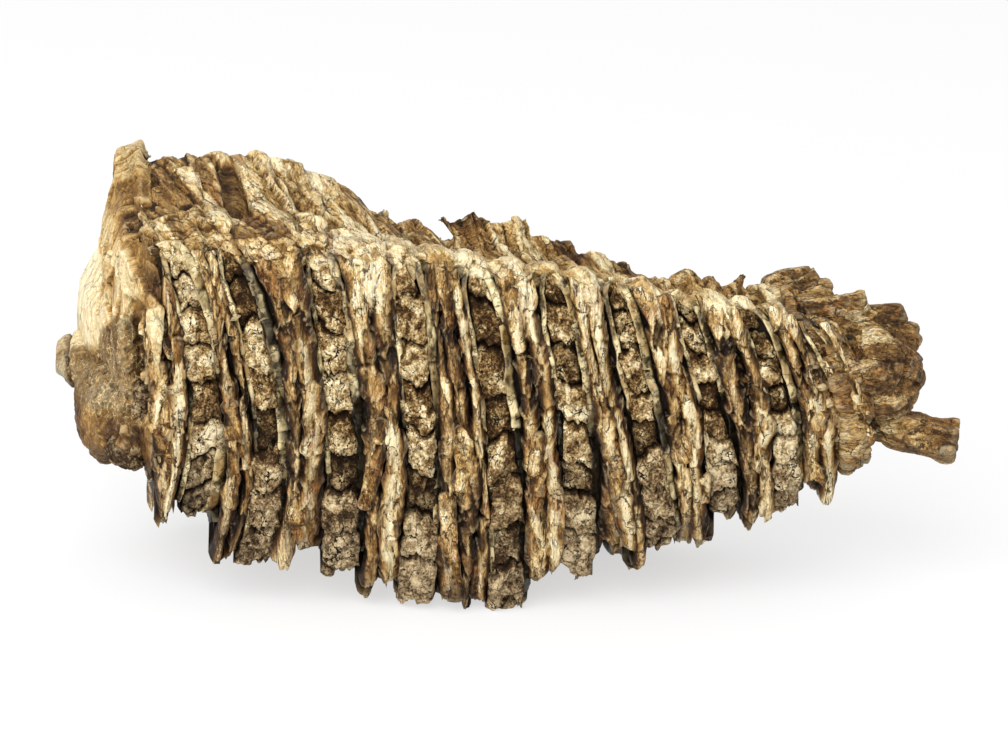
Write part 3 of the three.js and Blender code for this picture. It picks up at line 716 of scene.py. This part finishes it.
# Crumbs 3.5 mm across with cracks round some of them, grains of 1 mm, each of its own shade, and specks
# of 0.6 mm.
bend = add(tree, "TexNoise", {"Vector": space, "Scale": 1000 / 4, "Detail": 4.0, "Roughness": 0.65}, "Color")
bent = add(tree, "Mapping", {"Vector": space, "Scale": (1000 / 3.5, 1000 / 3.5, 1000 / 4.5)})
bent = add(tree, "VectorMath", {0: bend, 1: (1.3, 1.3, 1.3), 2: bent}, operation="MULTIPLY_ADD")
crumb = add(tree, "TexVoronoi", {"Vector": bent, "Scale": 1.0}, "Color")
grains = add(tree, "TexVoronoi", {"Vector": space, "Scale": 1000 / 1}, "Color")
crumb, grains = (add(tree, "SeparateColor", {"Color": part}, "Red") for part in (crumb, grains))
speck = add(tree, "TexNoise", {"Vector": space, "Scale": 1000 / 0.6, "Detail": 3.0, "Roughness": 0.7})
pale = -2.315  # brings what is added to it back to about a half
# Lift makes it a little darker where it lies deeper: painted shade.
for part, amount in ((patch, 2.4), (tone, 0.45), (lift, 0.1), (crumb, 0.4), (grains, 0.35), (speck, 1.9)):
    pale = add(tree, "Math", {0: part, 1: amount, 2: pale}, operation="MULTIPLY_ADD")
warm = add(tree, "ValToRGB", {"Fac": pale}, stops=(
    (0, "2E1C0A"), (0.3, "6B4E29"), (0.55, "A38556"), (0.8, "D2BB8C"), (1, "F0E0B8"),
))
cool = add(tree, "Mix", {"Factor": pale, "A": linear("3A2A18"), "B": linear("BEA784")}, data_type="RGBA")
share = add(tree, "MapRange", {"Value": height, "From Min": 0.5, "From Max": 0.1, "To Max": 0.7})
colour = add(tree, "Mix", {"Factor": share, "A": warm, "B": cool}, data_type="RGBA")
pit = add(tree, "TexNoise", {"Vector": space, "Scale": 1000 / 1.5, "Detail": 4.0, "Roughness": 0.7})
pit = add(tree, "MapRange", {"Value": pit, "From Min": 0.4, "From Max": 0.35, "To Max": 0.85})
crack = add(tree, "TexVoronoi", {"Vector": bent, "Scale": 1.0}, feature="DISTANCE_TO_EDGE")
reach = add(tree, "MapRange", {"Value": patch, "From Min": 0.48, "From Max": 0.62, "To Max": 0.04})
crack = add(tree, "Math", {0: crack, 1: reach}, operation="LESS_THAN")
# Dark pits and cracks, and painted shade deep down and in the hollows, each given as in the dentine.
for part, start, full, most, shade in (
    (pit, 0, 1, 1, "21160C"), (crack, 0, 1, 1, "1A110A"),
    (lift, -0.5, -2.8, 0.93, "1A0F04"), (point, 0.5, 0.4, 0.8, "221404"),
):
    share = add(tree, "MapRange", {"Value": part, "From Min": start, "From Max": full, "To Max": most})
    colour = add(tree, "Mix", {"Factor": share, "A": colour, "B": linear(shade)}, data_type="RGBA")
tree.links.new(colour, shader.inputs["Base Color"])
shader.inputs["Roughness"].default_value = 0.8
shader.inputs["Specular IOR Level"].default_value = 0.15
relief = speck
for part in (pit, crack):
    relief = add(tree, "Math", {0: part, 1: -0.8, 2: relief}, operation="MULTIPLY_ADD")
bump = add(tree, "Bump", {"Height": relief, "Strength": 1.0, "Distance": 0.0007})
tree.links.new(bump, shader.inputs["Normal"])

for i, (valley, blocks) in enumerate(zip(VALLEYS, BLOCKS)):
    across, sink = walled(CEMENT_ROWS, WALL_SINKS)
    tip_steps = 3 * (hashed(np.floor(across * 2), i + 90) - 0.5)
    seed = 100 * i + 17
    column = hoop(
        f"cement_{i + 1}",
        across,
        sink,
        (np.maximum(valley[4] + tip_steps, 0), np.maximum(valley[5] + tip_steps, 0)),
        (
            lambda t: line_at(valley, t) - column_half(valley, t) - 0.5,
            lambda t: line_at(valley, t) + column_half(valley, t) - 0.5,
        ),
        lambda x, t, u, share: cement_relief(x, t, u, share, blocks, seed),
        tone=lambda t, u, share: (
            hashed(block_number(t, share, seed), i + 300) + 0.5 * (i == 0) * smooth(0.5, 0.7, t)
        ),
    )
    if i == 0:
        lumps = [lump(f"lump_{n}", centre, size, 50 + n) for n, (centre, size) in enumerate(LUMPS, 1)]
        column = joined("cement_1", [column, *lumps])
    column.data.materials.append(cement)
    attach(column, "root")
    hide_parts("mammoth_tooth")

# ---- Enamel bands.
# A thin glossy sheet of enamel wraps each plate. It shows edge-on as a grey-olive band down both sides of a
# cement column, meeting in an arch over the column's top, and has cracked across into short lengths.
ENAMEL_ROWS = 9
BAND_SINKS = np.array([6, 2.5, 0.8])
NARROW = 1.5  # the band on a column's side towards the broad end
WIDE = (3.2, 3.0, 2.8, 2.6, 2.6, 2.6, 2.6, 2.5, 2.4, 2.4)  # the band on its other side, column by column


def band_place(u, share, seed):
    """Where along a band's broken lengths a point is."""
    return u / 10 + 0.25 * noise([u / 4, 0 * share], seed) + 0.05 * np.sin(6 * share + seed)


def enamel_relief(x, t, u, share, seed, deep):
    """A flat band in short lengths that stand a little in or out and lean, with chipped edges. deep: how
    much deeper its side away from the column lies."""
    edge = np.abs(2 * share - 1)
    place = band_place(u, share, seed)
    length = np.floor(place)
    to_break = np.abs(place - np.round(place)) * 10
    out = 1.3 * (hashed(length, seed) - 0.8) + 1.4 * (hashed(length, seed + 6) - 0.5) * (share - 0.5)
    out = out - 0.5 * (1 - smooth(0.05, 0.35, to_break)) - 0.35 * edge ** 6
    flat, border = facets([u / 5, x / 3], seed + 7, 0.8)
    out = out + 0.4 * flat + 0.06 * rough([u / 2, x], seed + 1, 3) + 0.4 * noise([u / 15, 0 * u], seed + 4)
    out = out - 7 * smooth(0.99, 1, t) - deep * (1 - 0.8 * smooth(0.75, 0.95, t)) * share
    chip = smooth(0.4, 0.6, rough([u / 5, 0 * u], seed + 3, 3))
    shift = 0.35 * rough([u / 8, 0 * u], seed + 2, 2)
    shift = shift + 0.2 * rough([u / 3, 3 * np.round(share) + 0 * u], seed + 5, 2)
    lost = (hashed(np.floor(place / 2.4), seed + 8) > 0.4) * smooth(0.6, 0.45, t)
    return out - 1.2 * chip - 2.5 * lost, shift


def arch(t):
    """How far apart the two bands of a valley stand: full, then closing over the column's top."""
    return np.sqrt(np.clip(1 - np.clip((t - 0.84) / 0.14, 0, 1) ** 2, 0, 1))


# Fossil enamel: dense and glassy, so it catches long highlights. Grey-olive, paler where it is thin and
# honey-coloured where it is stained, with fine growth lines across it.
enamel, tree, shader = new_material("fossil_enamel")
space = add(tree, "TexCoord", {}, "Object")
grain = add(tree, "Attribute", {}, "Vector", attribute_name="grain")
lift, tone, across = (
    add(tree, "Attribute", {}, "Fac", attribute_name=name) for name in ("lift", "tone", "across")
)
point = add(tree, "NewGeometry", {}, "Pointiness")
patch = add(tree, "TexNoise", {"Vector": space, "Scale": 1000 / 3.5, "Detail": 4.0, "Roughness": 0.55})
# Growth lines 0.6 mm apart, drawn coarser than they are so that they show, and flakes of 3 by 4 mm.
along = add(tree, "Mapping", {"Vector": grain, "Scale": (1 / 5, 1, 1 / 0.6)})
lines = add(tree, "TexNoise", {"Vector": along, "Scale": 1.0, "Detail": 2.0})
along = add(tree, "Mapping", {"Vector": grain, "Scale": (1 / 3, 1, 1 / 4)})
bend = add(tree, "TexNoise", {"Vector": space, "Scale": 1000 / 3, "Detail": 4.0}, "Color")
along = add(tree, "VectorMath", {0: bend, 1: (1.6, 1.6, 1.6), 2: along}, operation="MULTIPLY_ADD")
flake = add(tree, "TexVoronoi", {"Vector": along, "Scale": 1.0}, "Color")
flake = add(tree, "SeparateColor", {"Color": flake}, "Red")
pale = -1.23  # brings what is added to it back to about a half
for part, amount in ((patch, 2.6), (tone, 0.45), (flake, 0.5), (lines, 0.25)):
    pale = add(tree, "Math", {0: part, 1: amount, 2: pale}, operation="MULTIPLY_ADD")
crack = add(tree, "TexVoronoi", {"Vector": along, "Scale": 1.0}, feature="DISTANCE_TO_EDGE")
crack = add(tree, "Math", {0: crack, 1: 0.03}, operation="LESS_THAN")
colour = add(tree, "ValToRGB", {"Fac": pale}, stops=(
    (0.1, "30250F"), (0.34, "5C4B2C"), (0.54, "87764F"), (0.76, "B3A070"), (1, "DECC9C"),
))
# Honey stains 9 mm across, a pale rim along the cement and a dark one along the dentine, which is painted
# shadow, cracks, and painted shade deep down and in the hollows, each given as in the dentine.
stain = add(tree, "TexNoise", {"Vector": space, "Scale": 1000 / 9, "Detail": 3.0})
for part, start, full, most, shade in (
    (stain, 0.5, 0.62, 0.7, "94703A"), (across, 0.7, 0.98, 0.6, "B9A578"),
    (across, 0.25, 0.02, 0.7, "2A2116"), (crack, 0, 1, 0.8, "241A0E"),
    (lift, -1.2, -3, 0.93, "17120C"), (point, 0.5, 0.42, 0.8, "1B130B"),
):
    share = add(tree, "MapRange", {"Value": part, "From Min": start, "From Max": full, "To Max": most})
    colour = add(tree, "Mix", {"Factor": share, "A": colour, "B": linear(shade)}, data_type="RGBA")
tree.links.new(colour, shader.inputs["Base Color"])
for socket_name, value in (("Roughness", 0.32), ("IOR", 1.62), ("Specular IOR Level", 0.3)):
    shader.inputs[socket_name].default_value = value
relief = add(tree, "Math", {0: flake, 1: 0.9, 2: patch}, operation="MULTIPLY_ADD")
bump = add(tree, "Bump", {"Height": relief, "Strength": 0.7, "Distance": 0.0006})
tree.links.new(bump, shader.inputs["Normal"])

for i, valley in enumerate(VALLEYS):
    bands = []
    for side, width in ((-1, NARROW), (1, WIDE[i])):
        rows, sink = walled(ENAMEL_ROWS, BAND_SINKS)
        tip_drop = 4 * hashed(i, side + 5)
        seed = 100 * (2 * i + side) + 31
        outer = valley[3] + 0.5 + 0.25 * (width - 2.4) * (side > 0)

        def band_edge(t, share):
            reach = (outer - width * share) * arch(t) + width * (1 - share) * (1 - arch(t))
            return line_at(valley, t) + side * reach

        low, high = (0, 1) if side < 0 else (1, 0)
        bands.append(hoop(
            f"band_{i}_{side}",
            rows,
            sink,
            (np.full(len(rows), valley[4] + tip_drop), np.full(len(rows), valley[5] + tip_drop)),
            (lambda t: band_edge(t, low), lambda t: band_edge(t, high)),
            lambda x, t, u, share: enamel_relief(
                x, t, u, share if side > 0 else 1 - share, seed, 0.55 * width if side > 0 else 0.3
            ),
            tone=lambda t, u, share: hashed(np.floor(band_place(u, share, seed)), seed),
            across=lambda t, u, share: (share if side < 0 else 1 - share) + 0 * t,
        ))
    pair = joined(f"enamel_{i + 1}", bands)
    pair.data.materials.append(enamel)
    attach(pair, "root")
    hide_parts("mammoth_tooth")

# ---- Root base.
# Dentine and root cement close the tooth over its plates. They have weathered into angular flakes along the
# shoulder, and into long planks on the slope behind it, parted by slots. It is one mass, grown in place.
PLANK_RUN = 0.55  # the planks run this much towards the narrow end for each millimetre down the slope


def cut_from_tooth(name, planes, voxel):
    """A part of the tooth's solid, kept on the far side of each plane (a point and a normal, in the tables'
    millimetres), and rebuilt as an even fine mesh."""
    whole = bpy.data.objects["mammoth_tooth"]
    piece = bpy.data.objects.new(name, whole.data.copy())
    bpy.context.scene.collection.objects.link(piece)
    bpy.ops.object.select_all(action="DESELECT")
    piece.select_set(True)
    bpy.context.view_layer.objects.active = piece
    bpy.ops.object.mode_set(mode="EDIT")
    bpy.ops.mesh.select_all(action="SELECT")
    bpy.ops.mesh.remove_doubles(threshold=1e-6)
    for (px, py, pz), normal in planes:
        bpy.ops.mesh.select_all(action="SELECT")
        bpy.ops.mesh.bisect(
            plane_co=((px - ORIGIN[0]) * MM, (py - ORIGIN[1]) * MM, pz * MM),
            plane_no=normal,
            use_fill=True,
            clear_inner=True,
        )
    bpy.ops.object.mode_set(mode="OBJECT")
    fine = piece.modifiers.new("fine", "REMESH")
    fine.mode = "VOXEL"
    fine.voxel_size = voxel * MM
    bpy.ops.object.modifier_apply(modifier=fine.name)
    soft = piece.modifiers.new("soft", "SMOOTH")
    soft.iterations = 4
    bpy.ops.object.modifier_apply(modifier=soft.name)
    piece.data.materials.clear()
    piece.data.materials.append(dentine)
    piece.select_set(False)
    return piece


def weathered(piece, kept, relief, grain, marks, lean):
    """Moves a mesh's points along their normals by a relief in millimetres. kept: the share of its faces
    that is left afterwards, where the relief needs them. grain: gives coordinates for the material,
    the last one along the fibres. marks: further values for it, as numbers or functions. lean: gives how
    far the moved points then move back in Y and up in Z."""
    mesh = piece.data
    count = len(mesh.vertices)
    place, normal = np.empty(count * 3, np.float32), np.empty(count * 3, np.float32)
    mesh.vertices.foreach_get("co", place)
    mesh.vertex_normals.foreach_get("vector", normal)
    place = place.reshape(-1, 3).astype(np.float64) / MM
    place[:, :2] += ORIGIN
    out = relief(*place.T)
    set_values(piece, "lift", np.clip(out + 0.3, -1.3, 1.3))
    set_values(piece, "grain", np.stack(grain(*place.T), -1))
    for mark, value in marks.items():
        set_values(piece, mark, value(*place.T) if callable(value) else np.full(count, float(value)))
    moved = place + normal.reshape(-1, 3) * out[:, None]
    moved[:, 1:] += np.stack(lean(*moved.T), -1)
    set_shape(piece, moved)
    light = piece.modifiers.new("light", "DECIMATE")
    light.ratio = kept
    bpy.context.view_layer.objects.active = piece
    bpy.ops.object.modifier_apply(modifier=light.name)
    turned_out(piece)


def rim_drop(x, z):
    """How far the back rim is broken down beside the broad end's peak."""
    return -np.maximum(z - 109.3, 0) * smooth(-98.5, -97, x) * smooth(-88, -91, x)


def plank_place(x, y):
    """Where across the slope's planks a point is: they run towards the narrow end as they come down."""
    return (x + PLANK_RUN * y + 0.7 * noise([x / 20, y / 20], 12)) / 4.4


def slot_share(x, y):
    """1 in the deep slot between two of the planks."""
    return smooth(3.4, 2.2, np.abs(x + 75 - 0.25 * (49 - y))) * smooth(25, 30, y) * smooth(55, 52, y)


def base_chips(x, y, z):
    """The long shards of the slope and the flat flakes of the shoulder: how far each stands out, and 1 on
    the lines between them."""
    across, along, on_slope = x + PLANK_RUN * y, y - PLANK_RUN * x, smooth(17, 22, y + 0.1 * x)
    shard, border = facets([across / 3.6, along / 26], 17, 1.2)
    thin, thin_border = facets([across / 1.8, along / 12], 18, 1.1)
    flat, flat_border = facets([x / 9, y / 5, z / 4.5], 19, 1.2)
    chips, chip_border = facets([x / 3.6, y / 3, z / 2.4], 20, 1.1)
    border = border * on_slope + flat_border * (1 - on_slope)
    small_border = thin_border * on_slope + chip_border * (1 - on_slope)
    even = 1 - 0.5 * smooth(-45, -15, x) * (1 - on_slope)
    lines = np.maximum(1 - smooth(0.03, 0.12, border), 0.5 - 0.5 * smooth(0.03, 0.15, small_border)) * even
    flakes = on_slope * (1.2 * shard + 0.3 * thin) + (1 - on_slope) * (1.1 * flat + 0.25 * chips)
    return flakes * even - 0.35 * lines, lines


def base_relief(x, y, z):
    """Planks on the slope and flakes on the shoulder, sinking away where the ribs come out below."""
    cheek, shoulder, rim, rim_y = (
        np.interp(x, STATION_X, table) for table in (CHEEK_Y, SHOULDER_Z, RIM_Z, RIM_Y)
    )
    back = np.clip((y - cheek - SHOULDER_SETBACK) / (rim_y - cheek - SHOULDER_SETBACK), 0, 1)
    slope = smooth(0.08, 0.2, back + 0.05 * noise([x / 8, z / 8], 3)) * smooth(1, 0.95, back)
    plank = plank_place(x, y) + 0.04 * rough([x / 9, y / 9], 5, 2)
    number = np.floor(plank)
    length = np.floor(y / 42 + hashed(number, 6) * 5)
    to_side = np.minimum(plank - number, 1 - plank + number)
    planks = 2.2 * (hashed(number, length, 7) - 0.55) - 0.9 * (1 - smooth(0, 0.1, to_side))
    planks = planks + 1.5 * (hashed(number, length, 8) - 0.5) * (plank - number - 0.5)
    ledge = x + 65 - 0.62 * (47.6 - y)
    planks = planks + 1.2 * smooth(0.5, -0.5, ledge) * smooth(-16, -12, ledge)
    planks = planks - 2.5 * smooth(0.9, 0.3, np.abs(ledge - 0.7))
    planked = smooth(-0.55, -0.2, noise([(x + PLANK_RUN * y) / 13, y / 60], 10)) * smooth(-82, -74, x)
    flakes, _ = base_chips(x, y, z)
    flakes = flakes * (1 - 0.5 * slope * planked)
    top = shoulder * (1 - back) + rim * back - 4 * SADDLE * back * (1 - back)
    share = z / top + 0.02 * rough([x / 4, y / 6, z / 9], 20, 3)
    apart = np.min([np.abs(x + SKEW * y - line_at(v, 0.9)) - v[3] for v in VALLEYS], 0)
    foot = 0.94 - 0.035 * smooth(0, 3, apart)
    out = slope * planked * planks + np.maximum(slope, smooth(foot - 0.12, foot - 0.06, share)) * flakes
    out = out - 2.6 * slope * slot_share(x, y)
    out = out - 4 * smooth(1.3, 0.5, np.abs(y - 52.3)) * smooth(-90, -87, x) * smooth(-76, -79, x)
    out = out + 2.2 * smooth(0.75, 0.95, back) * smooth(-72, -62, x) * smooth(-35, -50, x)
    reach = face_reach(x, y, z) - 1.7 * smooth(99, 96, z) + 0.8 * noise([y / 3, z / 3], 21)
    out = out - 5 * smooth(-1.2, -2.2, reach) - 3.5 * smooth(0.5, 3.5, x + 0.25 * y + 0.35 * z - 107)
    return out - 4.5 * (1 - slope) * smooth(foot, foot - 0.05, share)


base_planes = [((-100, 0, 82), (0.14, 0, 1)), ((-97.5, 0, 100), (1, 0, -0.08))]
root_base = cut_from_tooth("root_base", base_planes, voxel=0.56)
weathered(root_base, 0.5, base_relief, lambda x, y, z: (x + PLANK_RUN * y, z, PLANK_RUN * y), {
    "height": lambda x, y, z: 0.95 - 0.35 * smooth(15, 40, y) + 0 * x,
    # The deep slot between two planks is painted darker: painted shade.
    "tone": lambda x, y, z: (
        1.1 * hashed(np.floor(plank_place(x, y)), 31) + 0.2 - 0.5 * slot_share(x, y)
        - 0.5 * smooth(22, 16, y) * smooth(-40, -50, x)
    ),
    "waxy": lambda x, y, z: 0.4 * slot_share(x, y),
    "spongy": lambda x, y, z: 0.3 * smooth(0.2, 0.6, noise([x / 14, y / 14], 33)) * smooth(18, 30, y),
    "fresh": lambda x, y, z: 0.3 + 0.3 * smooth(-45, -15, x) * smooth(22, 12, y),
    "edge": lambda x, y, z: 0.9 * base_chips(x, y, z)[1],
}, lambda x, y, z: (0 * x, rim_drop(x, z)))
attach(root_base, "root")
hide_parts("mammoth_tooth")

# ---- Broad end.
# The oblique broken face of the end plate: smooth cream dentine with fine upright fibres, spongy and brown
# in its lower half, with a rounded lobe, a dark broken corner and a knob at its foot.
def spongy_share(x, y, z):
    """1 on the spongy lower part of the face: its upper border climbs towards the cheek side."""
    return smooth(2, -2, z - 88 + 0.67 * y + 1.3 * rough([y / 9, z / 9], 60, 3)) * smooth(-94, -96, x)


def recess_share(x, y, z):
    """1 in the upright slot between the face and the first plate, on the cheek side, painted dark as shade.
    """
    return np.exp(-(((x + 95.2) / 1.7) ** 2)) * smooth(20, 12, y) * smooth(50, 58, z) * smooth(88, 80, z)


def knob_line(x, z):
    """1 in the groove between the face and the knob at its foot."""
    return np.exp(-(((x + 118.4 + 0.1 * (z - 57)) / 0.5) ** 2)) * smooth(49, 52, z) * smooth(66, 63, z)


def end_chips(x, y, z):
    """The face's flat chips: how far each stands out, and 1 on the lines between them."""
    flat, border = facets([x / 24, y / 12, z / 22], 61, 0.9)
    small, small_border = facets([x / 9, y / 4.5, z / 11], 62, 1.0)
    lines = np.maximum(1 - smooth(0.01, 0.04, border), 0.6 - 0.6 * smooth(0.02, 0.08, small_border))
    return (2.4 * flat + 1.1 * small - 0.3 * lines) * smooth(-112, -106, x), lines


def end_relief(x, y, z):
    """Fine upright fibres on a broken face, and a spongy lower part."""
    spongy = spongy_share(x, y, z)
    out = (1 - 0.6 * spongy) * end_chips(x, y, z)[0] + 0.07 * rough([x / 1.4, y / 1.2, z / 14], 63, 2) + 0.9
    out = out + 1.5 * smooth(-104, -112, x) - 1.0 * smooth(98, 108, z) * smooth(-90, -105, x)
    pores = rough([x / 2.2, y / 2.2, z / 2.2], 65, 3, 0.65)
    out = out + spongy * (0.4 * pores + 0.4 * noise([y / 8, z / 8], 66))
    out = out - 1.5 * knob_line(x, z) - 2.5 * smooth(-115, -117, x) * smooth(53, 49, z)
    out = out - 4 * smooth(-98, -96.5, x) * smooth(50, 54, y)
    return out - 0.2 - 3 * recess_share(x, y, z) - 5 * smooth(1, 2, face_reach(x, y, z))


broad_end = cut_from_tooth("broad_end", [((-87, 12, 100), (-1, -0.17, 0.12))], voxel=0.55)
weathered(broad_end, 0.75, end_relief, lambda x, y, z: (x, y, z), {
    "height": lambda x, y, z: 0.78 - 0.3 * smooth(0.1, 0.6, noise([y / 14, z / 25], 67)),
    # Darker in the slot by the first plate and in the knob's groove: painted shade.
    "tone": lambda x, y, z: (
        1.6 - 1.2 * smooth(80, 90, z) - 0.9 * spongy_share(x, y, z) - 0.35 * smooth(96, 104, z)
        - 1.7 * smooth(-118, -119, x) - 0.2 * smooth(-5, -2, face_reach(x, y, z)) - 1.6 * smooth(54, 48, z)
        - 1.4 * recess_share(x, y, z) - 1.6 * knob_line(x, z) + 0.15 * end_chips(x, y, z)[0]
    ),
    "waxy": lambda x, y, z: 0.4 * smooth(-118.3, -119.3, x),
    "spongy": lambda x, y, z: spongy_share(x, y, z) * smooth(47, 53, z) * smooth(-119.3, -118.3, x),
    "fresh": 0.75,
    "edge": lambda x, y, z: 0.7 * end_chips(x, y, z)[1],
}, lambda x, y, z: (5 * smooth(98, 111, z) * smooth(-102.5, -98.5, x) * smooth(30, 45, y), rim_drop(x, z)))
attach(broad_end, "root")
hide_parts("mammoth_tooth")

# ---- Narrow end.
# Spongy root bone with a ragged edge, broken root canals and a pointed prong, all brown and fibrous, where
# the roots grew out of the tooth.
def root_relief(x, y, z):
    """Soft lobes and low lumps, with pits in them."""
    flat, border = facets([x / 15, y / 5.5, z / 4.5], 73, 0.9)
    out = 1.1 * flat - 0.2 * (1 - smooth(0, 0.1, border)) + 0.35 * rough([x / 12, y / 6, z / 6], 71, 2) + 0.7
    out = out + 0.8 * smooth(60, 54, z) * smooth(98, 95, x) + 0.2 * rough([x / 4, y / 1.6, z / 1.6], 72, 3)
    out = out - 0.4 * smooth(0.4, 0.7, noise([x / 3, y / 1.8, z / 1.8], 74))
    return out + 0.8 * smooth(100, 107, x) * smooth(63, 57, z) - 1.5 * smooth(110, 118, x) * smooth(47, 51, z)


narrow_end = cut_from_tooth("narrow_end", [((86, 0, 60), (1, 0.25, 0.35))], voxel=0.55)
weathered(narrow_end, 0.75, root_relief, lambda x, y, z: (y, z, x), {
    "height": 0.2,
    "tone": lambda x, y, z: 0.3 - 0.7 * smooth(100, 108, x) * smooth(62, 57, z),
    "waxy": 0,
    "spongy": 0.5,
    "fresh": 0,
    "edge": 0,
}, lambda x, y, z: (0 * x, 0 * x))
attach(narrow_end, "root")
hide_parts("mammoth_tooth")

# ---- Floor, light and camera.
# A table top of white acrylic, lit softly from below, a large soft light from the front on the broad end's
# side with plain white round it, and the camera looking down a little at the cheek flank.
#
# White acrylic: matt, and bright all over, with only a faint soft shadow.
acrylic, tree, shader = new_material("white_acrylic")
shader.inputs["Base Color"].default_value = linear("F2F2F2")
shader.inputs["Roughness"].default_value = 0.9
glow = add(tree, "Emission", {"Strength": 0.97})
glowing = add(tree, "MixShader", {0: 0.62, 1: shader.outputs["BSDF"], 2: glow})
tree.links.new(glowing, tree.nodes["Material Output"].inputs["Surface"])
bpy.ops.mesh.primitive_plane_add(size=6)
floor = bpy.context.object
floor.name = "floor"
floor.data.materials.append(acrylic)

VIEW_HEIGHT = math.radians(20)
CAMERA_DISTANCE = 1.0195
target = Vector((-ORIGIN[0] * MM, (30 - ORIGIN[1]) * MM, 55.6 * MM))
away = Vector((0, -math.cos(VIEW_HEIGHT), math.sin(VIEW_HEIGHT)))
bpy.ops.object.camera_add(
    location=target + away * CAMERA_DISTANCE, rotation=(math.pi / 2 - VIEW_HEIGHT, 0, 0)
)
camera = bpy.context.object
camera.data.lens = 135
bpy.context.scene.camera = camera
bpy.context.scene.view_settings.view_transform = "Standard"

bpy.ops.object.light_add(type="AREA", location=(-0.5, -0.95, 0.85))
key = bpy.context.object
key.rotation_euler = (target - key.location).to_track_quat("-Z", "Y").to_euler()
key.data.size = 1.6
key.data.energy = 24
world = bpy.data.worlds.new("studio")
bpy.context.scene.world = world
world.use_nodes = True
world.node_tree.nodes["Background"].inputs["Color"].default_value = (1, 1, 1, 1)
world.node_tree.nodes["Background"].inputs["Strength"].default_value = 0.85
